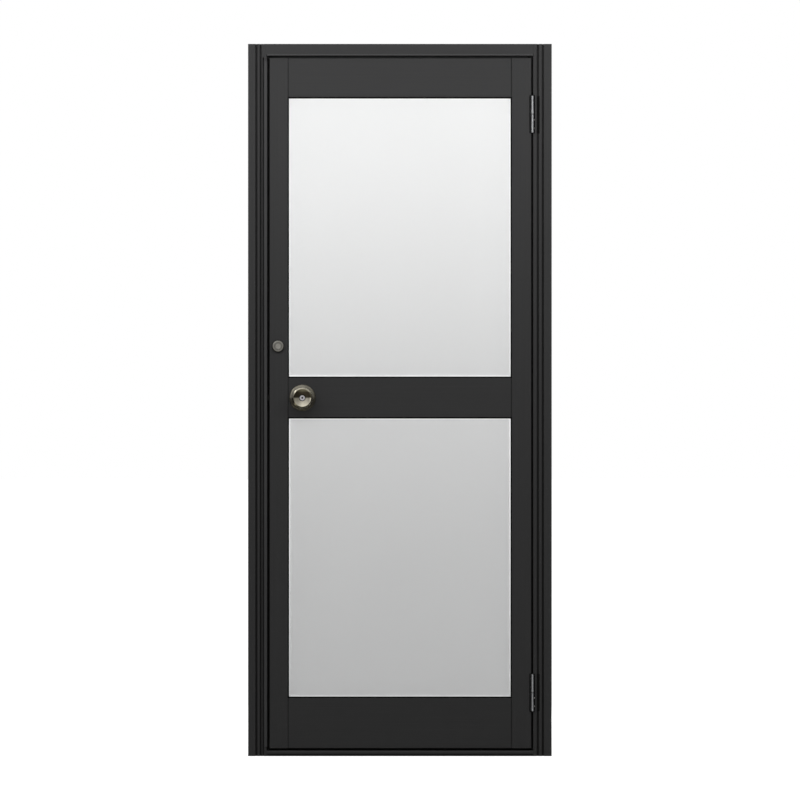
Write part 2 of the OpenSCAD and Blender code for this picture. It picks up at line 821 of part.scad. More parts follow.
module deadbolt_faceplate() {
    color(black_steel)
        bolt_plate(leaf_x0, deadbolt_mid_z, deadbolt_plate_h, deadbolt_t, deadbolt_h,
            bolt_clearance, -1);
}

module strike_screws() {
    color(black_steel)
        for (z = strike_screw_zs)
            translate([-jamb_x + plate_t, leaf_mid_y, z])
                rotate([0, -90, 0]) csk_screw(csk_screw_l);
}

module faceplate_screws() {
    color(black_steel)
        for (z = strike_screw_zs)
            translate([leaf_x0 - plate_t, leaf_mid_y, z])
                rotate([0, 90, 0]) csk_screw(csk_screw_l);
}

// Hinges

hinge_screw_dzs = [for (share = hinge_screw_shares) share * knuckle_l];

// A knuckle's outline, turned about the hinge pin, with a bead at each end
module knuckle_body() {
    bead_r = bead_d / 2;
    waist_r = knuckle_d / 2;
    blend = bead_l * waist_share;
    rotate_extrude()
        polygon([
            [0, 0], [bead_r - fine_edge, 0], [bead_r, fine_edge],
            [bead_r, bead_l - blend], [waist_r, bead_l],
            [waist_r, knuckle_l - bead_l], [bead_r, knuckle_l - bead_l + blend],
            [bead_r, knuckle_l - fine_edge], [bead_r - fine_edge, knuckle_l], [0, knuckle_l]
        ]);
}

// A hinge's plate: its far corners are rounded and its screws are countersunk
module hinge_plate(x, facing) {
    r = bead_l;
    translate([x, 0, 0])
        difference() {
            rotate([90, 0, 90])
                linear_extrude(hinge_plate_t)
                    polygon(concat(
                        [[0, fine_edge]],
                        arc_points([hinge_plate_reach - r, fine_edge + r], r, 270, 360),
                        arc_points([hinge_plate_reach - r, knuckle_l - fine_edge - r], r, 0, 90),
                        [[0, knuckle_l - fine_edge]]
                    ));
            for (dz = hinge_screw_dzs)
                translate([facing > 0 ? hinge_plate_t : 0, hinge_screw_y - hinge_y, dz])
                    rotate([0, -facing * 90, 0]) csk_hole(hinge_plate_t);
        }
}

// The jamb's half of a hinge hangs below the joint and holds the pin
module hinge_frame_half(z) {
    color(bright_steel)
        translate([hinge_x, hinge_y, z - washer_t / 2])
            mirror([0, 0, 1])
                difference() {
                    union() {
                        knuckle_body();
                        hinge_plate(jamb_x - hinge_x - hinge_plate_t, -1);
                    }
                    translate([0, 0, -overrun])
                        cylinder(h = knuckle_l - bead_l + overrun, d = hinge_pin_d);
                }
}

// The leaf's half of a hinge drops over the pin
module hinge_leaf_half(z) {
    color(bright_steel)
        translate([hinge_x, hinge_y, z + washer_t / 2 + moving_gap])
            difference() {
                union() {
                    knuckle_body();
                    hinge_plate(leaf_x1 - hinge_x, 1);
                }
                translate([0, 0, -overrun])
                    cylinder(h = knuckle_l - bead_l + overrun, d = hinge_pin_d + 2 * running_gap);
            }
}

module hinge_pin(z) {
    color("silver")
        translate([hinge_x, hinge_y, z - washer_t / 2 - knuckle_l + bead_l])
            cylinder(h = 2 * (knuckle_l - bead_l) + washer_t, d = hinge_pin_d);
}

module upper_hinge_frame_half() { hinge_frame_half(hinge_zs[1]); }

module lower_hinge_frame_half() { hinge_frame_half(hinge_zs[0]); }

module upper_hinge_leaf_half() { hinge_leaf_half(hinge_zs[1]); }

module lower_hinge_leaf_half() { hinge_leaf_half(hinge_zs[0]); }

module upper_hinge_pin() { hinge_pin(hinge_zs[1]); }

module lower_hinge_pin() { hinge_pin(hinge_zs[0]); }

module hinge_washers() {
    color("#222222")
        for (z = hinge_zs)
            translate([hinge_x, hinge_y, z - washer_t / 2])
                difference() {
                    cylinder(h = washer_t, d = washer_d);
                    translate([0, 0, -overrun])
                        cylinder(h = washer_t + 2 * overrun, d = hinge_pin_d);
                }
}

module hinge_frame_screws() {
    color(bright_steel)
        for (z = hinge_zs, dz = hinge_screw_dzs)
            translate([jamb_x - hinge_plate_t, hinge_screw_y, z - washer_t / 2 - dz])
                rotate([0, 90, 0]) csk_screw(csk_screw_l);
}

module hinge_leaf_screws() {
    color(bright_steel)
        for (z = hinge_zs, dz = hinge_screw_dzs)
            translate([leaf_x1 + hinge_plate_t, hinge_screw_y, z + washer_t / 2 + moving_gap + dz])
                rotate([0, -90, 0]) csk_screw(csk_screw_l);
}

// Leaf extrusions

module glazing_groove() {
    lips = [[0, front_lip_t], [leaf_t - back_lip_t, back_lip_t]];
    translate([-overrun, front_lip_t])
        square([glazing_groove_d + overrun, glazing_groove_w]);
    for (lip = lips)
        translate([leaf_wall, lip[0] + leaf_wall])
            square([glazing_groove_d - leaf_wall, lip[1] - 2 * leaf_wall]);
}

function chamber_start(grooved) = grooved ? glazing_web : leaf_wall;

// The profile of a stile or rail: across the member, then through the leaf's thickness
module leaf_section(w, start_grooved, end_grooved) {
    c0 = chamber_start(start_grooved);
    c1 = w - chamber_start(end_grooved);
    difference() {
        rounded_section(w, leaf_t, leaf_edge_r);
        translate([c0, leaf_wall]) square([c1 - c0, leaf_t - 2 * leaf_wall]);
        if (start_grooved) glazing_groove();
        if (end_grooved) translate([w, 0]) mirror([1, 0]) glazing_groove();
    }
}

function rail_port_zs(h, low, high) = [
    chamber_start(low) + port_reach,
    h - chamber_start(high) - port_reach
];

module rail_section(h, low, high) {
    difference() {
        union() {
            leaf_section(h, low, high);
            for (z = rail_port_zs(h, low, high)) translate([z, leaf_t / 2]) circle(d = port_d);
        }
        for (z = rail_port_zs(h, low, high)) translate([z, leaf_t / 2]) circle(d = corner_screw_d);
    }
}

module rail(z, h, low, high) {
    translate([0, leaf_y0, z])
        along_x(rail_x0, rail_x1) rail_section(h, low, high);
}

leaf_screw_zs = concat(
    [for (z = rail_port_zs(bottom_rail_h, false, true)) leaf_z0 + z],
    [for (z = rail_port_zs(mid_rail_h, true, true)) mid_rail_z + z],
    [for (z = rail_port_zs(top_rail_h, true, false)) top_rail_z + z]
);

// Holes for the corner screws through a stile w wide whose outer edge is at the origin, along +X
module stile_screw_holes(w) {
    for (z = leaf_screw_zs)
        translate([-overrun, leaf_mid_y, z])
            rotate([0, 90, 0]) {
                cylinder(h = leaf_wall + 2 * overrun, d = access_d);
                translate([0, 0, w - glazing_web])
                    cylinder(h = glazing_web + 2 * overrun, d = corner_screw_d);
            }
}

module latch_stile() {
    color(charcoal)
        difference() {
            translate([leaf_x0, leaf_y0, leaf_z0])
                linear_extrude(leaf_h) leaf_section(latch_stile_w, false, true);
            translate([leaf_x0, 0, 0]) stile_screw_holes(latch_stile_w);
            translate([leaf_x0 - overrun, leaf_mid_y, knob_z])
                rotate([0, 90, 0])
                    cylinder(h = latch_stile_w + 2 * overrun, d = latch_case_d);
            translate([leaf_x0 - overrun, leaf_mid_y - deadbolt_t / 2 - bolt_clearance,
                    deadbolt_z - bolt_clearance])
                cube([leaf_wall + 2 * overrun, deadbolt_t + 2 * bolt_clearance,
                    deadbolt_h + 2 * bolt_clearance]);
            for (z = strike_screw_zs)
                translate([leaf_x0 - overrun, leaf_mid_y, z])
                    rotate([0, 90, 0])
                        cylinder(h = leaf_wall + 2 * overrun, d = csk_screw_d);
            translate([lock_x, leaf_y0 + leaf_wall + overrun, lock_z])
                outwards() cylinder(h = leaf_wall + 2 * overrun, d = lock_body_d);
            translate([lock_x, leaf_y1 - leaf_wall - overrun, lock_z])
                inwards() cylinder(h = leaf_wall + 2 * overrun, d = tailpiece_d + 2 * fine_edge);
        }
}

module hinge_stile() {
    color(charcoal)
        difference() {
            translate([leaf_x1, leaf_y0, leaf_z0])
                mirror([1, 0, 0])
                    linear_extrude(leaf_h) leaf_section(hinge_stile_w, false, true);
            translate([leaf_x1, 0, 0]) mirror([1, 0, 0]) stile_screw_holes(hinge_stile_w);
            for (z = hinge_zs) {
                barrel_notch(z);
                for (dz = hinge_screw_dzs)
                    translate([leaf_x1 + overrun, hinge_screw_y, z + washer_t / 2 + moving_gap + dz])
                        rotate([0, -90, 0])
                            cylinder(h = leaf_wall + 2 * overrun, d = csk_screw_d);
            }
        }
}

module top_rail() {
    color(charcoal) rail(top_rail_z, top_rail_h, true, false);
}

module middle_rail() {
    color(charcoal)
        difference() {
            rail(mid_rail_z, mid_rail_h, true, true);
            translate([knob_x, leaf_y0 - overrun, knob_z])
                inwards() cylinder(h = leaf_t + 2 * overrun, d = chassis_d);
        }
}

module bottom_rail() {
    color(charcoal) rail(leaf_z0, bottom_rail_h, false, true);
}

module leaf_corner_screws() {
    edges = [[leaf_x0 + latch_stile_w - glazing_web, 1], [leaf_x1 - hinge_stile_w + glazing_web, -1]];
    color(bright_steel)
        for (edge = edges, z = leaf_screw_zs)
            translate([edge[0], leaf_mid_y, z])
                rotate([0, edge[1] * 90, 0])
                    pan_screw(glazing_web + corner_grip);
}

// Caps close the stiles' chambers, flush with the stiles' ends
module stile_end_caps() {
    stiles = [
        [leaf_x0 + leaf_wall, latch_stile_w - leaf_wall - glazing_web],
        [leaf_x1 - hinge_stile_w + glazing_web, hinge_stile_w - leaf_wall - glazing_web]
    ];
    color("#202021")
        for (stile = stiles, z = [leaf_z0, leaf_z1 - end_cap_t])
            translate([stile[0], leaf_y0 + leaf_wall, z])
                cube([stile[1], leaf_t - 2 * leaf_wall, end_cap_t]);
}

// Panes and gaskets

module pane(pane_z) {
    color(frosted) pane_slab(pane_z, glass_bite, glass_t);
}

module gasket(pane_z) {
    outer = glass_bite + gasket_heel_t;
    color(dark_rubber)
        difference() {
            union() {
                pane_slab(pane_z, outer, gasket_lip_t);
                difference() {
                    pane_slab(pane_z, outer, glazing_groove_w);
                    pane_slab(pane_z, gasket_grip_d, glazing_groove_w + overrun);
                }
            }
            pane_slab(pane_z, glass_bite, glass_t);
            pane_slab(pane_z, -gasket_sight_w, glazing_groove_w + overrun);
        }
}

module upper_glass() { pane(upper_pane_z); }

module lower_glass() { pane(lower_pane_z); }

module upper_gasket() { gasket(upper_pane_z); }

module lower_gasket() { gasket(lower_pane_z); }

// Knob, roses and chassis

module at_knob_outside() {
    translate([knob_x, leaf_y0, knob_z]) outwards() children();
}

module at_knob_inside() {
    translate([knob_x, leaf_y1, knob_z]) inwards() children();
}

neck_room_r = knob_neck_d / 2 + 2 * moving_gap;

// A dished rose, turned: a thin wall that rises in a curve from its rim to its flat top
module rose_shell() {
    r = rose_d / 2;
    top_r = rose_top_d / 2;
    rotate_extrude()
        polygon(concat(
            [[r, 0]],
            ellipse_points([top_r, rose_wall], r - top_r, rose_t - rose_wall, 0, 90),
            [[neck_room_r, rose_t], [neck_room_r, rose_t - rose_wall]],
            [[top_r, rose_t - rose_wall]],
            [[r - 2 * rose_wall, rose_wall], [r - 2 * rose_wall, 0]]
        ));
}

rose_screw_r = (rose_top_d / 2 + neck_room_r) / 2;

module outer_rose() {
    color(polished_bronze) at_knob_outside() rose_shell();
}

module inner_rose() {
    color(polished_bronze)
        at_knob_inside()
            difference() {
                rose_shell();
                for (side = [-1, 1])
                    translate([0, side * rose_screw_r, rose_t - rose_wall - overrun])
                        cylinder(h = rose_wall + 2 * overrun, d = csk_screw_d);
            }
}

module rose_screws() {
    color(polished_bronze)
        at_knob_inside()
            for (side = [-1, 1])
                translate([0, side * rose_screw_r, rose_t])
                    mirror([0, 0, 1])
                        difference() {
                            union() {
                                translate([0, 0, -rose_head_h])
                                    cylinder(h = rose_head_h, d = rose_head_d);
                                cylinder(h = rose_t + chassis_wall, d = csk_screw_d);
                            }
                            translate([0, 0, -rose_head_h]) cross_recess();
                        }
}

// The chassis is a drum through the leaf, open inside for the cam and the latch's yoke
module lock_chassis() {
    color("darkgray")
        at_knob_inside()
            difference() {
                translate([0, 0, -leaf_t]) cylinder(h = leaf_t, d = chassis_d);
                translate([0, 0, -leaf_t + chassis_wall])
                    cylinder(h = leaf_t - 2 * chassis_wall, r = chassis_room_r);
                translate([0, 0, -leaf_t - overrun])
                    cylinder(h = leaf_t + 2 * overrun, d = spindle_d + 2 * moving_gap);
                translate([0, 0, -leaf_t / 2])
                    rotate([0, -90, 0])
                        cylinder(h = chassis_d / 2 + overrun, d = latch_rod_d + 2 * bolt_clearance);
                for (side = [-1, 1])
                    translate([0, side * rose_screw_r, -chassis_wall])
                        cylinder(h = chassis_wall + overrun, d = csk_screw_d);
            }
}

// The outline that both knobs share, from the spindle's socket over the neck, back, belt and rim to the dish
function knob_outline() = concat(
    [[spindle_d / 2, rose_wall], [knob_neck_d / 2, rose_wall], [knob_neck_d / 2, knob_neck_l]],
    ellipse_points([knob_neck_d / 2, knob_belly_h], knob_d / 2 - knob_neck_d / 2,
        knob_belly_h - knob_neck_l, -90 + 180 / arc_steps / 2, 0),
    arc_points([knob_d / 2 - knob_corner_r, knob_belly_h + knob_belt_l], knob_corner_r, 0, corner_angle),
    arc_points([rim_r - knob_bevel_r * cos(rim_angle), knob_len - knob_bevel_r * sin(rim_angle)],
        knob_bevel_r, corner_angle + (rim_angle - corner_angle) / arc_steps, rim_angle),
    [for (i = [1:arc_steps])
        let (r = rim_r + (key_collar_d / 2 - rim_r) * i / arc_steps)
        [r, dish_floor + dish_r - sqrt(dish_r * dish_r - r * r)]]
);

collar_floor = dish_floor - key_collar_t;
plug_room_r = key_plug_d / 2 + moving_gap;
tail_room_r = tailpiece_d / 2 + moving_gap;

module knob_body() {
    rotate_extrude()
        polygon(concat(knob_outline(), [
            [key_collar_d / 2, collar_floor],
            [plug_room_r, collar_floor],
            [plug_room_r, plug_floor - moving_gap],
            [tail_room_r, plug_floor - moving_gap],
            [tail_room_r, rose_wall + spindle_seat],
            [spindle_d / 2, rose_wall + spindle_seat]
        ]));
}

module outer_knob() {
    color(polished_bronze) at_knob_outside() knob_body();
}

module inner_knob() {
    color(polished_bronze) at_knob_inside() knob_body();
}

// A dark ring closes the dish round the key plug, and another the inner knob's dish
module collar_ring() {
    translate([0, 0, collar_floor])
        difference() {
            cylinder(h = key_collar_t, d = key_collar_d);
            translate([0, 0, -overrun]) cylinder(h = key_collar_t + 2 * overrun, r = plug_room_r);
        }
}

module key_collars() {
    color("#1b1a18") {
        at_knob_outside() collar_ring();
        at_knob_inside() collar_ring();
    }
}

module knob_spindle() {
    reach = rose_wall + spindle_seat;
    color("silver")
        translate([knob_x, leaf_y0 - reach, knob_z])
            inwards()
                difference() {
                    cylinder(h = leaf_t + 2 * reach, d = spindle_d);
                    translate([0, 0, -overrun])
                        cylinder(h = leaf_t + 2 * reach + 2 * overrun, r = tail_room_r);
                }
}

// A cam behind a slotted plate t thick: its hub, its arm, and the drive pin that reaches through
module cam(hub_d, pin_r, pin_angle, t) {
    rotate([0, pin_angle, 0])
        translate([0, t / 2 + moving_gap, 0])
            inwards() {
                cylinder(h = cam_t, d = hub_d);
                translate([-drive_pin_d / 2, -pin_r, 0]) cube([drive_pin_d, pin_r, cam_t]);
                translate([0, -pin_r, 0]) cylinder(h = cam_t, d = drive_pin_d + 2 * fine_edge);
                translate([0, -pin_r, -t - moving_gap])
                    cylinder(h = t + moving_gap + cam_t, d = drive_pin_d);
            }
}

module latch_cam() {
    color("silver")
        translate([knob_x, leaf_mid_y, knob_z])
            difference() {
                cam(spindle_d + 4 * fine_edge, cam_pin_r, -knob_turn_angle / 2, yoke_t);
                outwards() cylinder(h = leaf_t, d = spindle_d, center = true);
            }
}

// Key core

module keyhole(top) {
    translate([0, 0, top - keyhole_depth]) {
        cylinder(h = keyhole_depth + overrun, d = keyhole_d);
        translate([-keyway_w / 2, -keyway_l / 2, keyhole_depth / 2])
            cube([keyway_w, keyway_l, keyhole_depth / 2 + overrun]);
    }
}

module key_plug() {
    color("#b9b9bd")
        at_knob_outside()
            difference() {
                translate([0, 0, plug_floor]) cylinder(h = key_plug_l, d = key_plug_d);
                keyhole(plug_floor + key_plug_l);
            }
}

module core_tailpiece() {
    color("silver")
        translate([knob_x, leaf_y0 - plug_floor, knob_z])
            inwards() cylinder(h = leaf_t + 2 * plug_floor, d = tailpiece_d);
}

module turn_button() {
    color(polished_bronze)
        at_knob_inside()
            translate([0, 0, plug_floor])
                difference() {
                    cylinder(h = key_plug_l + turn_button_l, d = key_plug_d);
                    for (side = [-1, 1])
                        translate([side * (turn_button_t + key_plug_d) / 2, 0,
                                key_plug_l + turn_button_l / 2])
                            cube([key_plug_d, key_plug_d, turn_button_l], center = true);
                }
}

// Latch

latch_tip_x = leaf_x0 - latch_throw;
latch_heel_x = latch_tip_x + latch_head_l;

module latch_case() {
    color("darkgray")
        translate([leaf_x0, leaf_mid_y, knob_z])
            rotate([0, 90, 0])
                difference() {
                    cylinder(h = latch_case_l, d = latch_case_d);
                    translate([0, 0, -overrun])
                        cylinder(h = latch_case_l - latch_case_wall + overrun,
                            d = latch_case_d - 2 * latch_case_wall);
                    cylinder(h = latch_case_l + overrun, d = latch_rod_d + 2 * bolt_clearance);
                }
}

// The bolt's head is bevelled on its indoor side, and its yoke hangs on the cam's drive pin
module latch_bolt() {
    slot_z0 = cam_pin_low - drive_pin_d / 2 - moving_gap;
    slot_h = cam_pin_r - cam_pin_low + drive_pin_d + 2 * moving_gap;
    arm_z = spindle_d / 2 + 3 * moving_gap;
    arm_top = slot_z0 + slot_h + fine_edge;
    bar_x = -spindle_d / 2 - latch_throw - 2 * moving_gap;
    color("silver") {
        translate([latch_tip_x, leaf_mid_y, knob_z - latch_head_h / 2])
            linear_extrude(latch_head_h)
                polygon([
                    [0, -latch_head_w / 2], [latch_head_l, -latch_head_w / 2],
                    [latch_head_l, latch_head_w / 2], [latch_throw, latch_head_w / 2],
                    [0, fine_edge - latch_head_w / 2]
                ]);
        translate([latch_heel_x, leaf_mid_y, knob_z])
            rotate([0, 90, 0]) cylinder(h = knob_x - yoke_r - latch_heel_x + fine_edge, d = latch_rod_d);
        translate([knob_x, leaf_mid_y, knob_z])
            rotate([90, 0, 0])
                linear_extrude(yoke_t, center = true)
                    difference() {
                        intersection() {
                            circle(r = yoke_r);
                            union() {
                                translate([-yoke_r, -latch_rod_d])
                                    square([bar_x + yoke_r, latch_rod_d + arm_top]);
                                translate([-yoke_r, arm_z])
                                    square([yoke_r, arm_top - arm_z]);
                            }
                        }
                        translate([-latch_throw / 2 - yoke_slot_w / 2, slot_z0])
                            square([yoke_slot_w, slot_h]);
                    }
    }
}

// A closed coil round the rod, swept as a tube with its ends capped
module latch_spring() {
    coil_r = (latch_spring_d - latch_spring_wire_d) / 2;
    wire_r = latch_spring_wire_d / 2;
    rings = latch_spring_turns * coil_steps;
    x0 = latch_heel_x + wire_r;
    x1 = leaf_x0 + latch_case_l - latch_case_wall - wire_r;
    points = [
        for (i = [0:rings], k = [0:coil_sides - 1])
            let (a = 360 * i / coil_steps, b = 360 * k / coil_sides, r = coil_r + wire_r * cos(b))
            [x0 + (x1 - x0) * i / rings + wire_r * sin(b), r * cos(a), r * sin(a)]
    ];
    sides = [
        for (i = [0:rings - 1], k = [0:coil_sides - 1])
            let (a = i * coil_sides, n = (k + 1) % coil_sides)
            [a + k, a + n, a + coil_sides + n, a + coil_sides + k]
    ];
    caps = [
        [for (k = [coil_sides - 1:-1:0]) k],
        [for (k = [0:coil_sides - 1]) rings * coil_sides + k]
    ];
    color("silver")
        translate([0, leaf_mid_y, knob_z])
            polyhedron(points, concat(sides, caps));
}

// Auxiliary lock

module at_lock_outside() {
    translate([lock_x, leaf_y0, lock_z]) outwards() children();
}

module at_lock_inside() {
    translate([lock_x, leaf_y1, lock_z]) inwards() children();
}

case_depth = leaf_t / 2 - deadbolt_case_w / 2;
lock_plug_room = lock_plug_d + 2 * moving_gap;

// The collar's front edge is turned to a curve, and its body runs back to the bolt's case
module lock_collar() {
    r = lock_collar_d / 2;
    front_r = lock_front_d / 2;
    room_r = lock_plug_room / 2;
    color(satin_nickel)
        at_lock_outside()
            rotate_extrude()
                polygon(concat(
                    [[room_r, -case_depth], [lock_body_d / 2, -case_depth], [lock_body_d / 2, 0]],
                    [[r, 0]],
                    ellipse_points([front_r, lock_collar_t / 2], r - front_r, lock_collar_t / 2, 0, 90),
                    [[room_r, lock_collar_t]]
                ));
}

module lock_plug() {
    top = lock_collar_t - lock_plug_sink;
    color(satin_nickel)
        at_lock_outside()
            difference() {
                translate([0, 0, -case_depth]) {
                    cylinder(h = case_depth + top, d = lock_plug_d);
                    cylinder(h = case_depth + top + lock_centre_t, d = lock_centre_d);
                }
                translate([-keyway_w / 2, -keyway_l / 2, top + lock_centre_t - keyhole_depth])
                    cube([keyway_w, keyway_l, keyhole_depth + overrun]);
            }
}

// The tailpiece carries the arm whose drive pin throws the deadbolt
module lock_tailpiece() {
    front = leaf_y0 + case_depth;
    color("silver") {
        translate([lock_x, front, lock_z])
            inwards() cylinder(h = leaf_y1 + turn_rose_t - front, d = tailpiece_d);
        translate([lock_x, leaf_mid_y, lock_z])
            cam(tailpiece_d + 4 * fine_edge, bolt_pin_r, deadbolt_turn_angle / 2, deadbolt_t);
    }
}

// A flat bar with an upright slot for the drive pin, open at its lower edge
module deadbolt() {
    front = leaf_x0 - plate_t + moving_gap - lock_x;
    slot_top = bolt_pin_r + drive_pin_d / 2 + moving_gap - deadbolt_rise;
    color("silver")
        translate([lock_x, leaf_mid_y, deadbolt_z])
            rotate([90, 0, 0])
                linear_extrude(deadbolt_t, center = true)
                    difference() {
                        translate([front, 0]) square([deadbolt_tail - front, deadbolt_h]);
                        translate([bolt_pin_x - bolt_slot_w / 2, -overrun])
                            square([bolt_slot_w, slot_top + overrun]);
                    }
}

module deadbolt_case() {
    x0 = leaf_wall - lock_backset;
    x1 = latch_stile_w - glazing_web - lock_backset;
    z0 = -tailpiece_d - 2 * fine_edge - deadbolt_case_wall;
    z1 = deadbolt_rise + deadbolt_h + bolt_clearance + deadbolt_case_wall;
    color("darkgray")
        translate([lock_x, leaf_mid_y, lock_z])
            difference() {
                translate([x0, -deadbolt_case_w / 2, z0])
                    cube([x1 - x0, deadbolt_case_w, z1 - z0]);
                translate([x0 - overrun, -deadbolt_case_w / 2 + deadbolt_case_wall,
                        z0 + deadbolt_case_wall])
                    cube([x1 - x0 + 2 * overrun, deadbolt_case_w - 2 * deadbolt_case_wall,
                        z1 - z0 - 2 * deadbolt_case_wall]);
                translate([0, -deadbolt_case_w, 0])
                    inwards()
                        cylinder(h = 2 * deadbolt_case_w, d = tailpiece_d + 2 * moving_gap);
            }
}

module turn_rose() {
    r = turn_rose_d / 2;
    room_r = turn_hub_d / 2 + moving_gap;
    color(satin_nickel)
        at_lock_inside()
            rotate_extrude()
                polygon(concat(
                    [[room_r, 0], [r, 0]],
                    arc_points([r - turn_rose_t / 2, turn_rose_t / 2], turn_rose_t / 2, 0, 90),
                    [[room_r, turn_rose_t]]
                ));
}

// The thumb-turn's hub sits in its rose, and its grip is a bar with round ends
module thumb_turn() {
    color(satin_nickel)
        at_lock_inside()
            difference() {
                union() {
                    cylinder(h = turn_rose_t + turn_grip_h / 2, d = turn_hub_d);
                    translate([0, 0, turn_rose_t + moving_gap])
                        linear_extrude(turn_grip_h) {
                            square([turn_grip_t, turn_grip_l - turn_grip_t], center = true);
                            for (side = [-1, 1])
                                translate([0, side * (turn_grip_l - turn_grip_t) / 2])
                                    circle(d = turn_grip_t);
                        }
                }
                translate([0, 0, -overrun])
                    cylinder(h = turn_rose_t + overrun, d = tailpiece_d);
            }
}

// Assembly

latch_jamb();
hinge_jamb();
head();
sill();
jamb_cover_strip();
latch_side_seal();
hinge_side_seal();
head_seal();
sill_seal();
latch_strike();
deadbolt_strike();
strike_screws();
frame_corner_screws();
upper_hinge_frame_half();
lower_hinge_frame_half();
upper_hinge_pin();
lower_hinge_pin();
hinge_washers();
hinge_frame_screws();
latch_stile();
hinge_stile();
top_rail();
middle_rail();
bottom_rail();
upper_glass();
lower_glass();
upper_gasket();
lower_gasket();
leaf_corner_screws();
stile_end_caps();
upper_hinge_leaf_half();
lower_hinge_leaf_half();
hinge_leaf_screws();
outer_rose();
inner_rose();
rose_screws();
lock_chassis();
latch_case();
latch_faceplate();
deadbolt_case();
deadbolt_faceplate();
faceplate_screws();
lock_collar();
turn_rose();
outer_knob();
inner_knob();
key_collars();
knob_spindle();
latch_cam();
key_plug();
core_tailpiece();
turn_button();
latch_bolt();
latch_spring();
lock_plug();
lock_tailpiece();
thumb_turn();
deadbolt();
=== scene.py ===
import math

import bpy
import numpy as np
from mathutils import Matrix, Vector


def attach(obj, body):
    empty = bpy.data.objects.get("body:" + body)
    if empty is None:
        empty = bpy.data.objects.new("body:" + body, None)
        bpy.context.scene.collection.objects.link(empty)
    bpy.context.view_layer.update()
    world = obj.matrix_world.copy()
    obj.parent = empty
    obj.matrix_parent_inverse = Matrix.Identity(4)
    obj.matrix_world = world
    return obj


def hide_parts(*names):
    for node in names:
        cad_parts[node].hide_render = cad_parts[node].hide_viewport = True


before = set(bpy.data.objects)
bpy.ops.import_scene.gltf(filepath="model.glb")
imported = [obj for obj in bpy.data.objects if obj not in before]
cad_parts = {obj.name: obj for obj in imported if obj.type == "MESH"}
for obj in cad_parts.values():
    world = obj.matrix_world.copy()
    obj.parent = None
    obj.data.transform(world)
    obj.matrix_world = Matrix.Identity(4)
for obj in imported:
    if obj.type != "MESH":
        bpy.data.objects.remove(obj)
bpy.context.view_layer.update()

MM = 0.001

# Places and sizes, in millimetres, as the frame gives them
LEAF_FRONT, LEAF_BACK = -33.0, -3.0
FRAME_FRONT, STRIP_FRONT = -35.0, -37.6
KNOB = (-251.8, 926.1)
LOCK = (-314.7, 1059.4)
# The hinge knuckles get a painted highlight about their axis and a painted shade on their flanks.
HINGE_X, FLANK_PAINTED_SHADE = 342.1, 0.13
PANE_MIDDLE, PANE_HALF = (-0.25, 926.75, 413.8), (289.85, 362.9)
GASKET_BLACK = 3.5
# Painted light: how strongly the gasket's pale lip glows, by height in metres.
LIP_PAINTED_GLOW = [(0.15, 0.13), (0.5, 0.30), (0.876, 0.38), (0.98, 0.20), (1.35, 0.22), (1.64, 0.1), (1.704, 0.0)]
SMOOTH = math.radians(32)


# Meshes

def grid_faces(rows, columns, wrap):
    """Quads over a grid of rows by columns; wrap joins the last column to the first."""
    across = columns if wrap else columns - 1
    i, j = np.meshgrid(np.arange(rows - 1), np.arange(across), indexing="ij")
    k = (j + 1) % columns
    quads = np.stack([i * columns + j, i * columns + k, (i + 1) * columns + k, (i + 1) * columns + j], -1)
    return quads.reshape(-1, 4)


def make_piece(name, points, faces, body, material, slot, replaced=()):
    """A mesh piece from points in millimetres, smooth except along its hard edges."""
    mesh = bpy.data.meshes.new(name)
    mesh.from_pydata((np.asarray(points) * MM).tolist(), [], [list(map(int, f)) for f in faces])
    mesh.update()
    piece = bpy.data.objects.new(name, mesh)
    bpy.context.scene.collection.objects.link(piece)
    mesh.materials.append(material)
    smooth_by_angle(mesh)
    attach(piece, body)
    if replaced:
        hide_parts(*replaced)
    return piece


def smooth_by_angle(mesh, limit=SMOOTH):
    """Smooth shading, with each edge sharper than the limit kept hard."""
    mesh.shade_smooth()
    mesh.set_sharp_from_angle(angle=limit)


def turned(profile, centre, facing, segments=128, closed=True):
    """A turned body: each profile point (radius, height) goes round the axis through centre.

    The point at angle a is centre + radius * (cos a, sin a) across, and height along facing (-1 outdoors,
    +1 indoors). A closed profile's last ring joins its first; an open one starts and ends on the axis.
    """
    profile = np.asarray(profile, float)
    a = np.linspace(0, 2 * np.pi, segments, endpoint=False) * facing
    radius, height = profile[:, :1], profile[:, 1:]
    x = centre[0] + radius * np.cos(a)
    z = centre[2] + radius * np.sin(a)
    y = centre[1] + facing * height + 0 * x
    points = np.stack([x, y, z], -1)
    if closed:
        points = np.concatenate([points, points[:1]])
        faces = grid_faces(len(points), segments, True)
        faces = faces % (len(profile) * segments)
        return points[:-1].reshape(-1, 3), faces
    rings = points[1:-1].reshape(-1, 3)
    ends = np.array([[centre[0], centre[1] + facing * profile[i, 1], centre[2]] for i in (0, -1)])
    faces = grid_faces(len(profile) - 2, segments, True).tolist()
    first, last = len(rings), len(rings) + 1
    k = np.arange(segments)
    n = (k + 1) % segments
    top = (len(profile) - 3) * segments
    faces += np.stack([np.full(segments, first), n, k], -1).tolist()
    faces += np.stack([np.full(segments, last), top + k, top + n], -1).tolist()
    return np.concatenate([rings, ends]), faces


def arc(cx, cy, rx, ry, start, end, steps=16):
    """Points on an ellipse's arc from start to end, in degrees."""
    a = np.radians(np.linspace(start, end, steps + 1))
    return np.stack([cx + rx * np.cos(a), cy + ry * np.sin(a)], -1)


def joined(*parts):
    """One list of profile points from several."""
    return np.concatenate([np.atleast_2d(part) for part in parts])


# Materials

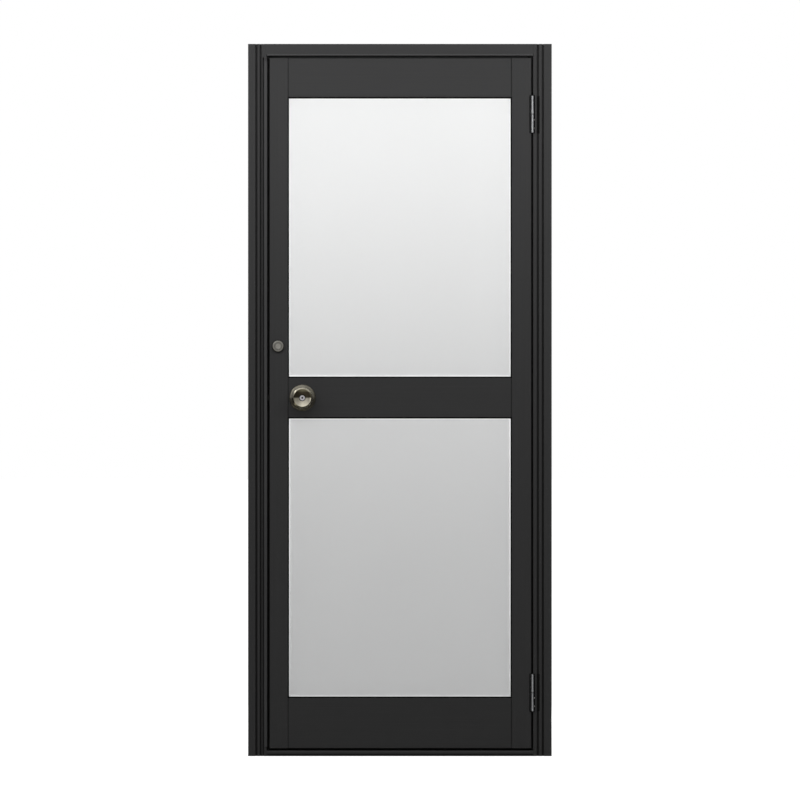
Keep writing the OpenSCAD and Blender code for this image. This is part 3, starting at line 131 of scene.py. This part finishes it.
class Finish:
    """A material's node tree, with short ways to add its nodes."""

    def __init__(self, name, colour, roughness, metallic=0.0, **sockets):
        self.material = bpy.data.materials.new(name)
        self.material.use_nodes = True
        self.tree = self.material.node_tree
        self.shader = self.tree.nodes["Principled BSDF"]
        self.put("Base Color", (*colour, 1.0))
        self.put("Roughness", roughness)
        self.put("Metallic", metallic)
        for socket, value in sockets.items():
            self.put(socket.replace("_", " "), value)
        self.colour = colour
        self.place = self.add("ShaderNodeTexCoord").outputs["Object"]

    def put(self, socket, value):
        self.shader.inputs[socket].default_value = value

    def add(self, kind, **settings):
        node = self.tree.nodes.new(kind)
        for name, value in settings.items():
            setattr(node, name, value)
        return node

    def link(self, start, end):
        self.tree.links.new(start, end)

    def noise(self, scale, stretch=(1, 1, 1), detail=4.0, roughness=0.6):
        """Noise on Object coordinates, stretched along an axis by a small factor."""
        mapping = self.add("ShaderNodeMapping")
        mapping.inputs["Scale"].default_value = stretch
        self.link(self.place, mapping.inputs["Vector"])
        node = self.add("ShaderNodeTexNoise")
        node.inputs["Scale"].default_value = scale
        node.inputs["Detail"].default_value = detail
        node.inputs["Roughness"].default_value = roughness
        self.link(mapping.outputs["Vector"], node.inputs["Vector"])
        return node.outputs["Fac"]

    def spread(self, value, low, high, start=0.3, end=0.7):
        """Maps a value that runs from start to end to a value from low to high."""
        node = self.add("ShaderNodeMapRange")
        for name, number in (("From Min", start), ("From Max", end), ("To Min", low), ("To Max", high)):
            node.inputs[name].default_value = number
        self.link(value, node.inputs["Value"])
        return node.outputs["Result"]

    def tint(self, value, low, high):
        """Mixes the base colour from low to high times itself by value, and feeds the shader."""
        mix = self.add("ShaderNodeMix", data_type="RGBA")
        mix.inputs[6].default_value = (*[c * low for c in self.colour], 1.0)
        mix.inputs[7].default_value = (*[c * high for c in self.colour], 1.0)
        self.link(value, mix.inputs[0])
        self.link(mix.outputs[2], self.shader.inputs["Base Color"])

    def math(self, operation, first, second=0.0, third=0.0):
        """A Math node; each operand is a number or another node's output."""
        node = self.add("ShaderNodeMath", operation=operation)
        for socket, value in zip(node.inputs, (first, second, third)):
            if isinstance(value, (int, float)):
                socket.default_value = value
            else:
                self.link(value, socket)
        return node.outputs[0]

    def axes(self, output="Object"):
        """The three parts of a place, or of a normal, in the piece's own frame."""
        node = self.add("ShaderNodeSeparateXYZ")
        self.link(self.place.node.outputs[output], node.inputs[0])
        return node.outputs

    def shade(self, factor, dark):
        """Paints shade: multiplies the base colour by dark where the factor is 1."""
        mix = self.add("ShaderNodeMix", data_type="RGBA", blend_type="MULTIPLY")
        mix.inputs[7].default_value = (dark, dark, dark, 1.0)
        base = self.shader.inputs["Base Color"]
        if base.links:
            self.link(base.links[0].from_socket, mix.inputs[6])
        else:
            mix.inputs[6].default_value = (*self.colour, 1.0)
        self.link(factor, mix.inputs[0])
        self.link(mix.outputs[2], base)

    def ramp(self, value, stops, top):
        """A number that follows the value, from 0 to top, through the stops."""
        node = self.add("ShaderNodeValToRGB")
        for element, (at, level) in zip(node.color_ramp.elements, (stops[0], stops[-1])):
            element.position, element.color = at / top, (level, level, level, 1.0)
        for at, level in stops[1:-1]:
            node.color_ramp.elements.new(at / top).color = (level, level, level, 1.0)
        self.link(self.math("DIVIDE", value, top), node.inputs[0])
        return node.outputs[0]

    def bump(self, value, strength, distance):
        node = self.add("ShaderNodeBump")
        node.inputs["Strength"].default_value = strength
        node.inputs["Distance"].default_value = distance
        self.link(value, node.inputs["Height"])
        previous = self.shader.inputs["Normal"].links
        if previous:
            self.link(previous[0].from_socket, node.inputs["Normal"])
        self.link(node.outputs["Normal"], self.shader.inputs["Normal"])


def coated(name, colour, stretch, roughness=0.42, front=None, recess_painted_shade=1.0):
    """Anodised and lacquered aluminium: die lines along the extrusion, a fine lacquer skin, faint handling marks.

    With a front, every face that looks outdoors from more than a millimetre behind it is multiplied by the
    painted recess shade: painted shade on the floors of grooves and notches, which get little light.
    """
    finish = Finish(name, colour, roughness, 0.0, Specular_IOR_Level=0.15)
    lines = finish.noise(900, stretch, 3.0)
    skin = finish.noise(2600, (1, 1, 1), 2.0)
    marks = finish.noise(9, (1, 1, 1), 5.0)
    finish.tint(finish.spread(lines, 0.0, 1.0), 0.94, 1.06)
    wear = finish.add("ShaderNodeMath", operation="MULTIPLY_ADD")
    finish.link(finish.spread(marks, -0.05, 0.06), wear.inputs[0])
    wear.inputs[1].default_value = 1.0
    finish.link(finish.spread(lines, roughness - 0.03, roughness + 0.04), wear.inputs[2])
    finish.link(wear.outputs[0], finish.shader.inputs["Roughness"])
    finish.bump(skin, 0.12, 0.00003)
    finish.bump(lines, 0.10, 0.00003)
    # Painted shade: faces looking outdoors from behind the front are darkened by the recess shade.
    if front is not None:
        outward = finish.math("LESS_THAN", finish.axes("Normal")["Y"], -0.5)
        deep = finish.math("GREATER_THAN", finish.axes()["Y"], (front + 1.0) * MM)
        finish.shade(finish.math("MULTIPLY", outward, deep), recess_painted_shade)
    return finish.material


def metal(name, colour, roughness, grain=(1, 1, 1), scale=700, depth=0.08, spread=0.06, painted_highlight_band=None, metallic=1.0):
    """Bare or plated metal: a grain stretched along the way it was worked, and cloudy handling marks.

    With a painted highlight band (x, half), the colour stays bright to half each side of x and is darkened beyond it: a
    painted highlight down the middle and painted shade on the flanks.
    """
    finish = Finish(name, colour, roughness, metallic)
    lines = finish.noise(scale, grain, 4.0)
    clouds = finish.noise(60, (1, 1, 1), 4.0)
    finish.tint(finish.spread(clouds, 0.0, 1.0), 0.9, 1.06)
    finish.link(finish.spread(lines, max(0.02, roughness - spread), roughness + spread),
                finish.shader.inputs["Roughness"])
    finish.bump(lines, depth, 0.00002)
    # Painted highlight and shade: the colour is darkened away from a narrow band about the knuckle's axis.
    if painted_highlight_band:
        off_highlight_band = finish.math("ABSOLUTE", finish.math("SUBTRACT", finish.axes()["X"], painted_highlight_band[0] * MM))
        finish.shade(finish.spread(off_highlight_band, 0.0, 1.0, (painted_highlight_band[1] - 0.5) * MM, (painted_highlight_band[1] + 0.5) * MM), FLANK_PAINTED_SHADE)
    return finish.material


def turned_metal(name, colour, roughness, centre, painted_shade_bands=(), metallic=1.0, pitch=2600, depth=0.05, spread=0.05):
    """Metal finished on a lathe: fine rings round an axis, with clouds of wear over them.

    Each painted shade band (radius from, radius to, shade) multiplies the colour by its shade between its two radii,
    painting shade in rings round the axis.
    """
    finish = Finish(name, colour, roughness, metallic)
    mapping = finish.add("ShaderNodeMapping", vector_type="POINT")
    mapping.inputs["Location"].default_value = [-c * MM for c in centre]
    mapping.inputs["Scale"].default_value = (1.0, 0.0, 1.0)
    finish.link(finish.place, mapping.inputs["Vector"])
    length = finish.add("ShaderNodeVectorMath", operation="LENGTH")
    finish.link(mapping.outputs["Vector"], length.inputs[0])
    rings = finish.add("ShaderNodeTexNoise", noise_dimensions="1D")
    rings.inputs["Scale"].default_value = pitch
    rings.inputs["Detail"].default_value = 3.0
    finish.link(length.outputs["Value"], rings.inputs["W"])
    clouds = finish.noise(90, (1, 1, 1), 4.0)
    finish.tint(finish.spread(clouds, 0.0, 1.0), 0.88, 1.08)
    finish.link(finish.spread(rings.outputs["Fac"], max(0.015, roughness - spread), roughness + spread),
                finish.shader.inputs["Roughness"])
    finish.bump(rings.outputs["Fac"], depth, 0.00001)
    # Painted shade: each band darkens the colour in a ring round the axis.
    for start, end, dark in painted_shade_bands:
        inside = finish.math("LESS_THAN", length.outputs["Value"], end * MM)
        finish.shade(finish.math("MULTIPLY", inside, finish.math("GREATER_THAN", length.outputs["Value"], start * MM)),
                     dark)
    return finish.material


def moulded(name, colour, roughness, scale=1200, depth=0.15):
    """Rubber or plastic: a fine moulded skin and a little bloom."""
    finish = Finish(name, colour, roughness, 0.0, Specular_IOR_Level=0.12)
    skin = finish.noise(scale, (1, 1, 1), 3.0)
    bloom = finish.noise(25, (1, 1, 1), 4.0)
    finish.tint(finish.spread(bloom, 0.0, 1.0), 0.85, 1.15)
    finish.link(finish.spread(skin, roughness - 0.06, roughness + 0.06), finish.shader.inputs["Roughness"])
    finish.bump(skin, depth, 0.00004)
    return finish.material


def glazing_rubber(name, colour, pale):
    """A black gasket with a pale inner lip that glows a little: painted light that changes with height.

    The colour changes a set distance in from the pane's opening.

    The distance is the smaller of half the opening less the way from the pane's middle, across and upwards;
    the two panes are alike, so the height is first folded about the middle rail.
    """
    finish = Finish(name, colour, 0.6, 0.0, Specular_IOR_Level=0.1)
    (middle_x, middle_z, rise), (half_w, half_h) = PANE_MIDDLE, PANE_HALF
    x, _, z = finish.axes()
    across = finish.math("ABSOLUTE", finish.math("SUBTRACT", x, middle_x * MM))
    folded = finish.math("ABSOLUTE", finish.math("SUBTRACT", z, middle_z * MM))
    upward = finish.math("ABSOLUTE", finish.math("SUBTRACT", folded, rise * MM))
    inward = finish.math("MINIMUM", finish.math("SUBTRACT", half_w * MM, across),
                         finish.math("SUBTRACT", half_h * MM, upward))
    lip = finish.math("GREATER_THAN", inward, GASKET_BLACK * MM)
    skin = finish.noise(1200, (1, 1, 1), 3.0)
    mix = finish.add("ShaderNodeMix", data_type="RGBA")
    mix.inputs[6].default_value = (*colour, 1.0)
    mix.inputs[7].default_value = (*pale, 1.0)
    finish.link(lip, mix.inputs[0])
    finish.link(mix.outputs[2], finish.shader.inputs["Base Color"])
    # Painted light: the pale lip glows by height, though it is no lamp.
    finish.put("Emission Color", (*pale, 1.0))
    glow = finish.ramp(z, LIP_PAINTED_GLOW, 2.0)
    finish.link(finish.math("MULTIPLY", lip, glow), finish.shader.inputs["Emission Strength"])
    finish.link(finish.spread(skin, 0.54, 0.66), finish.shader.inputs["Roughness"])
    finish.bump(skin, 0.12, 0.00004)
    return finish.material


def frosted(name, colour):
    """Figured glass with a frosted face: it passes light but no picture, with a faint rolled relief."""
    finish = Finish(name, colour, 0.5, 0.0, Transmission_Weight=0.18, IOR=1.5, Specular_IOR_Level=0.3)
    relief = finish.noise(420, (1, 1, 1), 3.0, 0.5)
    fine = finish.noise(2400, (1, 1, 1), 2.0)
    clouds = finish.noise(3, (1, 1, 0.5), 2.0)
    finish.tint(finish.spread(clouds, 0.0, 1.0), 0.99, 1.01)
    finish.link(finish.spread(fine, 0.46, 0.56), finish.shader.inputs["Roughness"])
    finish.bump(relief, 0.10, 0.0001)
    finish.bump(fine, 0.15, 0.00003)
    return finish.material


UPRIGHT, LEVEL = (1, 1, 0.004), (0.004, 1, 1)
FRAME_TONE = (0.036, 0.036, 0.0365)
MATERIALS = {
    # The last number of the jamb, head, stile and strip coats is the painted shade of their recesses and notches.
    "jamb coat": coated("jamb coat", FRAME_TONE, UPRIGHT, 0.42, FRAME_FRONT, 0.55),
    "head coat": coated("head coat", FRAME_TONE, LEVEL, 0.42, FRAME_FRONT, 0.55),
    "stile coat": coated("stile coat", FRAME_TONE, UPRIGHT, 0.42, LEAF_FRONT, 0.3),
    "rail coat": coated("rail coat", FRAME_TONE, LEVEL),
    "strip coat": coated("strip coat", (0.05, 0.05, 0.051), UPRIGHT, 0.38, STRIP_FRONT, 0.75),
    # A lighter coat for the painted highlights on the head's and sill's lips.
    "lip highlight coat": coated("lip highlight coat", (0.052, 0.052, 0.053), LEVEL, 0.38),
    "black weatherstrip": moulded("black weatherstrip", (0.004, 0.004, 0.004), 0.8),
    "glazing gasket": glazing_rubber("glazing gasket", (0.005, 0.005, 0.005), (0.93, 0.935, 0.935)),
    "black plate": metal("black plate", (0.02, 0.02, 0.02), 0.5, UPRIGHT, 900),
    "black nylon": moulded("black nylon", (0.02, 0.02, 0.02), 0.45, 600),
    "black cap": moulded("black cap", (0.015, 0.015, 0.015), 0.5, 800),
    "frosted pane": frosted("frosted pane", (0.9, 0.905, 0.905)),
    # Hinge steel: painted highlight down each knuckle, painted shade on its flanks.
    "hinge steel": metal("hinge steel", (0.43, 0.435, 0.45), 0.4, UPRIGHT, 900, painted_highlight_band=(HINGE_X + 0.8, 1.75), metallic=0.3),
    "plate steel": metal("plate steel", (0.55, 0.55, 0.54), 0.3, UPRIGHT, 900),
    "zinc plate": metal("zinc plate", (0.5, 0.5, 0.5), 0.38, (1, 1, 1), 300),
    "spring wire": metal("spring wire", (0.4, 0.4, 0.4), 0.32, (1, 1, 1), 900),
    "knob bronze": turned_metal("knob bronze", (0.50, 0.472, 0.395), 0.10, (KNOB[0], 0, KNOB[1])),
    "rose bronze": turned_metal("rose bronze", (0.19, 0.179, 0.148), 0.16, (KNOB[0], 0, KNOB[1]), metallic=0.82),
    "dark collar": moulded("dark collar", (0.006, 0.006, 0.005), 0.6, 900, 0.05),
    # Painted shade: the keyhole's middle is darkened to near black.
    "plug nickel": turned_metal("plug nickel", (0.68, 0.67, 0.70), 0.42, (KNOB[0], 0, KNOB[1]), metallic=0.5,
                                painted_shade_bands=((0.0, 2.4, 0.05),)),
    # Painted light and shade on the lock: a bright middle, darkened rings, a dark groove and a near-black outer edge.
    "lock nickel": turned_metal("lock nickel", (0.67, 0.66, 0.625), 0.34, (LOCK[0], 0, LOCK[1]),
                                painted_shade_bands=((6.2, 8.6, 0.7), (8.6, 10.0, 0.35), (10.0, 14.0, 0.7), (14.0, 16.0, 0.12))),
    "bolt steel": metal("bolt steel", (0.05, 0.05, 0.05), 0.5, LEVEL, 900),
}

NODE_MATERIALS = {
    "jamb coat": ["latch_jamb", "hinge_jamb"],
    "head coat": ["head", "sill"],
    "strip coat": ["jamb_cover_strip"],
    "stile coat": ["latch_stile", "hinge_stile"],
    "rail coat": ["top_rail", "middle_rail", "bottom_rail"],
    "black weatherstrip": ["latch_side_seal", "hinge_side_seal", "head_seal", "sill_seal"],
    "glazing gasket": ["upper_gasket", "lower_gasket"],
    "frosted pane": ["upper_glass", "lower_glass"],
    # The strikes and faceplates are black: painted shade that keeps them as dark as the shaded latch gap.
    "black plate": ["latch_strike", "deadbolt_strike", "strike_screws", "latch_faceplate", "deadbolt_faceplate",
                    "faceplate_screws"],
    "plate steel": ["hinge_frame_screws", "hinge_leaf_screws"],
    "hinge steel": ["upper_hinge_frame_half", "lower_hinge_frame_half", "upper_hinge_leaf_half",
                    "lower_hinge_leaf_half"],
    "zinc plate": ["frame_corner_screws", "leaf_corner_screws", "upper_hinge_pin", "lower_hinge_pin",
                   "lock_chassis", "latch_case", "deadbolt_case", "knob_spindle", "latch_cam", "core_tailpiece",
                   "lock_tailpiece"],
    "bolt steel": ["latch_bolt", "deadbolt"],
    "spring wire": ["latch_spring"],
    "black nylon": ["hinge_washers"],
    "black cap": ["stile_end_caps"],
    "knob bronze": ["outer_knob", "inner_knob", "turn_button", "rose_screws"],
    "rose bronze": ["outer_rose", "inner_rose"],
    "dark collar": ["key_collars"],
    "plug nickel": ["key_plug"],
    "lock nickel": ["lock_collar", "turn_rose", "lock_plug", "thumb_turn"],
}

for finish_name, nodes in NODE_MATERIALS.items():
    for node_name in nodes:
        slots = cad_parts[node_name].material_slots
        for material_slot in slots:
            material_slot.material = MATERIALS[finish_name]


# Knobs and roses

BALL_R, BELLY_H, CORNER_R, BEVEL_R = 26.5, 35.569, 1.2, 13.0
RIM_R, KNOB_LENGTH, CORNER_ANGLE, RIM_ANGLE = 22.773, 42.0, 43.0, 62.0
DISH_FLOOR, DISH_R, COLLAR_R = 37.5, 59.87, 8.5


def knob_profile():
    """The knob from its socket over neck, back, belt, corner and bevel to the dish and down the collar's seat.

    The back is a quarter of an ellipse from the neck out to the belt, the corner and the bevel are arcs that
    meet the rim, and the dish is part of a sphere.
    """
    neck_r, neck_h, belt = 12.0, 13.0, 3.0
    bevel = (RIM_R - BEVEL_R * math.cos(math.radians(RIM_ANGLE)),
             KNOB_LENGTH - BEVEL_R * math.sin(math.radians(RIM_ANGLE)))
    r = np.linspace(RIM_R, COLLAR_R, 28)[1:]
    dish = np.stack([r, DISH_FLOOR + DISH_R - np.sqrt(DISH_R ** 2 - r ** 2)], -1)
    return joined(
        [5.0, 1.5], [neck_r - 0.6, 1.5], [neck_r, 2.1], [neck_r, neck_h - 0.6],
        arc(neck_r, BELLY_H, BALL_R - neck_r, BELLY_H - neck_h, -84, 0, 32),
        arc(BALL_R - CORNER_R, BELLY_H + belt, CORNER_R, CORNER_R, 0, CORNER_ANGLE, 6),
        arc(*bevel, BEVEL_R, BEVEL_R, CORNER_ANGLE, RIM_ANGLE, 10)[1:],
        dish, [COLLAR_R, 34.5], [6.8, 34.5], [6.8, 24.0], [2.8, 24.0], [2.8, 12.0], [5.0, 12.0])


def rose_profile():
    """The dished rose: rim, curved shoulder, flat top, hole and hollow underside."""
    return joined(
        [34.5, 0.0], arc(22.0, 1.5, 12.5, 5.5, 0, 90, 28), [12.6, 7.0], [12.6, 5.5], [22.0, 5.5],
        [31.5, 1.5], [31.5, 0.0])


for side, facing, face in (("outer", -1, LEAF_FRONT), ("inner", 1, LEAF_BACK)):
    centre = (KNOB[0], face, KNOB[1])
    points, faces = turned(knob_profile(), centre, facing, 160)
    make_piece(side + "_ball_knob", points, faces, "knob", MATERIALS["knob bronze"], "bronze", (side + "_knob",))
    if side == "outer":
        points, faces = turned(rose_profile(), centre, facing, 160)
        make_piece(side + "_dished_rose", points, faces, "leaf", MATERIALS["rose bronze"], "bronze",
                   (side + "_rose",))


# Small plates: black strips in the jamb's slot and painted shade at the stile's notches beside the hinges, painted
# shade at the rail joints, painted highlights on the head's and sill's lips, a cover on the head's end and painted
# shade in the gap at the strip's top

PLATE_EDGE = 0.2
HINGE_HEIGHTS = {"upper": (1610.0, 1706.0), "lower": (117.0, 212.0)}
HEAD_END, STRIP_TOP = (1806.4, 1840.7), (1799.8, 1804.4)
RAIL_HEIGHTS = {"top": (1704.3, 1804.2), "middle": (876.5, 977.0), "bottom": (20.4, 149.4)}


def plate(across, depth, heights):
    """An upright plate: an outline with both front edges cut back is carried from the low to the high end."""
    (left, right), (front, back) = across, depth
    outline = np.array([(left, back), (left, front + PLATE_EDGE), (left + PLATE_EDGE, front),
                        (right - PLATE_EDGE, front), (right, front + PLATE_EDGE), (right, back)])
    z, x = np.meshgrid(heights, outline[:, 0], indexing="ij")
    points = np.stack([x, outline[:, 1] + 0 * z, z], -1).reshape(-1, 3)
    count = len(outline)
    ends = [np.arange(count)[::-1], np.arange(count, 2 * count)]
    return points, [*grid_faces(2, count, True), *ends]


# Black strips in the jamb's slot at the hinges' heights, and black edges on the stile as painted shade in the hinge
# notches.
PLATES = [(place + "_hinge_" + kind, across, depth, heights, body, "black weatherstrip", "weatherstrip")
          for place, heights in HINGE_HEIGHTS.items()
          for kind, across, depth, body in (("slot_black_strip", (354.3, 361.0), (-35.3, -34.5), "frame"),
                                            ("notch_painted_shade", (334.8, 337.2), (-33.3, -32.8), "leaf"))]
# Painted shade: black lines at the rail joints stand for the shade in the joints' narrow gaps.
PLATES += [("_".join((place, "rail", side, "joint")), across, (-33.1, -32.6), heights, "leaf", "black weatherstrip",
            "weatherstrip")
           for place, heights in RAIL_HEIGHTS.items()
           for side, across in (("latch", (-288.4, -287.2)), ("hinge", (287.1, 288.7)))]
# Painted highlights: lighter bands along the head's and sill's lips, where their edges catch the light.
PLATES += [("head_lip_highlight", (-343.6, 343.6), (-37.1, -34.9), (1812.4, 1815.0), "frame", "lip highlight coat", "strip_finish"),
           ("sill_lip_highlight", (-343.6, 343.6), (-35.1, -34.8), (10.7, 13.2), "frame", "lip highlight coat", "strip_finish"),
           ("head_end_cover", (-356.5, -350.4), (-35.25, -34.7), HEAD_END, "frame", "head coat", "frame_finish"),
           # Painted shade: a black sheet in the gap at the cover strip's top.
           ("strip_top_gap", (-353.9, -350.9), (-35.2, -34.7), STRIP_TOP, "frame", "black weatherstrip",
            "weatherstrip")]
for name, across, depth, heights, body, finish_name, slot_name in PLATES:
    make_piece(name, *plate(across, depth, heights), body, MATERIALS[finish_name], slot_name)


# Floor, light and camera

def stage_plane(name, size, z, material):
    """A square floor of the given size, in metres, level at z."""
    mesh = bpy.data.meshes.new(name)
    s = size / 2
    mesh.from_pydata([(-s, -s, z), (s, -s, z), (s, s, z), (-s, s, z)], [], [(0, 1, 2, 3)])
    plane = bpy.data.objects.new(name, mesh)
    bpy.context.scene.collection.objects.link(plane)
    mesh.materials.append(material)
    return plane


def floor_material():
    """A white floor that keeps the object's shadow and meets the white background without a seam."""
    material = bpy.data.materials.new("studio floor")
    material.use_nodes = True
    tree = material.node_tree
    tree.nodes.clear()
    out = tree.nodes.new("ShaderNodeOutputMaterial")
    diffuse = tree.nodes.new("ShaderNodeBsdfDiffuse")
    diffuse.inputs["Color"].default_value = (0.85, 0.85, 0.85, 1)
    glow = tree.nodes.new("ShaderNodeEmission")
    glow.inputs["Color"].default_value = (1, 1, 1, 1)
    path = tree.nodes.new("ShaderNodeLightPath")
    level = tree.nodes.new("ShaderNodeMath")
    level.operation = "MULTIPLY"
    level.inputs[1].default_value = 0.78
    total = tree.nodes.new("ShaderNodeAddShader")
    tree.links.new(path.outputs["Is Camera Ray"], level.inputs[0])
    tree.links.new(level.outputs[0], glow.inputs["Strength"])
    tree.links.new(diffuse.outputs[0], total.inputs[0])
    tree.links.new(glow.outputs[0], total.inputs[1])
    tree.links.new(total.outputs[0], out.inputs["Surface"])
    return material


floor = stage_plane("studio_floor", 120.0, -0.0005, floor_material())
floor.visible_glossy = False


FILL = 0.40
SKY = [(-1.0, (0.09, 0.09, 0.06)), (-0.86, (0.06, 0.06, 0.04)), (-0.7, (0.24, 0.23, 0.17)), (-0.58, (0.22, 0.21, 0.16)),
       (-0.46, (0.07, 0.06, 0.045)), (-0.02, (0.05, 0.045, 0.033)), (0.02, (0.62, 0.61, 0.59)),
       (0.24, (0.74, 0.73, 0.71)), (0.46, (1.0, 0.98, 0.95)), (0.68, (1.36, 1.35, 1.30)), (1.0, (0.74, 0.72, 0.69))]
SIDE_LIGHT = [(-1.0, (0.25, 0.25, 0.24)), (-0.86, (0.3, 0.3, 0.3)), (-0.7, (1.9, 1.9, 1.86)), (-0.58, (0.7, 0.7, 0.7)),
              (-0.48, (0.9, 0.9, 0.9)), (-0.3, (1.0, 1.0, 1.0)), (0.0, (1.0, 1.0, 1.0)), (0.2, (0.68, 0.68, 0.68)),
              (0.36, (0.56, 0.56, 0.55)), (0.56, (0.6, 0.6, 0.58)), (0.7, (0.3, 0.3, 0.28)), (0.86, (0.13, 0.13, 0.12)),
              (1.0, (0.1, 0.1, 0.09))]


def studio_world():
    """White behind the object; metal sees a pale sky that fades to the right, over dark ground."""
    world = bpy.data.worlds.new("studio")
    bpy.context.scene.world = world
    world.use_nodes = True
    tree = world.node_tree
    tree.nodes.clear()
    add, link = tree.nodes.new, tree.links.new
    out = add("ShaderNodeOutputWorld")
    path = add("ShaderNodeLightPath")
    place = add("ShaderNodeTexCoord")
    apart = add("ShaderNodeSeparateXYZ")
    link(place.outputs["Generated"], apart.inputs[0])

    def banded(part, stops):
        """A colour that follows one part of the direction, from -1 to 1, through the stops."""
        node = add("ShaderNodeValToRGB")
        for element, (at, colour) in zip(node.color_ramp.elements, (stops[0], stops[-1])):
            element.position, element.color = 0.5 + at / 2, (*colour, 1)
        for at, colour in stops[1:-1]:
            node.color_ramp.elements.new(0.5 + at / 2).color = (*colour, 1)
        shifted = add("ShaderNodeMath")
        shifted.operation = "MULTIPLY_ADD"
        shifted.inputs[1].default_value = 0.5
        shifted.inputs[2].default_value = 0.5
        link(apart.outputs[part], shifted.inputs[0])
        link(shifted.outputs[0], node.inputs[0])
        return node.outputs[0]

    upward = banded("Z", SKY)
    sideways = banded("X", SIDE_LIGHT)
    joint = add("ShaderNodeMix")
    joint.data_type, joint.blend_type = "RGBA", "MULTIPLY"
    joint.inputs[0].default_value = 1.0
    link(upward, joint.inputs[6])
    link(sideways, joint.inputs[7])
    white, sky, fill = add("ShaderNodeBackground"), add("ShaderNodeBackground"), add("ShaderNodeBackground")
    white.inputs["Color"].default_value = (1, 1, 1, 1)
    fill.inputs["Color"].default_value = (1, 1, 1, 1)
    fill.inputs["Strength"].default_value = FILL
    link(joint.outputs[2], sky.inputs["Color"])
    seen = add("ShaderNodeMath")
    seen.operation = "MAXIMUM"
    link(path.outputs["Is Camera Ray"], seen.inputs[0])
    link(path.outputs["Is Transmission Ray"], seen.inputs[1])
    first, second = add("ShaderNodeMixShader"), add("ShaderNodeMixShader")
    link(path.outputs["Is Glossy Ray"], first.inputs[0])
    link(fill.outputs[0], first.inputs[1])
    link(sky.outputs[0], first.inputs[2])
    link(seen.outputs[0], second.inputs[0])
    link(first.outputs[0], second.inputs[1])
    link(white.outputs[0], second.inputs[2])
    link(second.outputs[0], out.inputs["Surface"])


studio_world()


def soft_lamp(name, place, target, size, power, glossy=False):
    """A rectangular lamp in metres and watts that faces its target."""
    data = bpy.data.lights.new(name, "AREA")
    data.shape = "RECTANGLE"
    data.size, data.size_y = size
    data.energy = power
    lamp = bpy.data.objects.new(name, data)
    bpy.context.scene.collection.objects.link(lamp)
    lamp.location = place
    lamp.rotation_euler = (Vector(target) - Vector(place)).to_track_quat("-Z", "Y").to_euler()
    lamp.visible_camera = False
    lamp.visible_glossy = glossy
    lamp.visible_transmission = False
    return lamp


soft_lamp("indoor_fill", (0.4, 2.6, 1.5), (0.0, 0.0, 1.0), (1.6, 1.6), 24.0)
soft_lamp("front_strip", (-0.3, -1.25, 1.85), (-0.3, 0.0, 1.85), (5.0, 0.4), 32.5)

camera_data = bpy.data.cameras.new("camera")
camera = bpy.data.objects.new("camera", camera_data)
bpy.context.scene.collection.objects.link(camera)
PIXEL = 2.585 * MM
camera_data.lens, camera_data.sensor_width = 300.0, 36.0
DISTANCE = 800 * PIXEL * camera_data.lens / camera_data.sensor_width
camera.location = (0.1 * PIXEL, -0.035 - DISTANCE, 356.1 * PIXEL)
camera.rotation_euler = (math.radians(90), 0, 0)
camera_data.clip_start, camera_data.clip_end = 0.5, 200.0
bpy.context.scene.camera = camera
bpy.context.scene.view_settings.view_transform = "Standard"
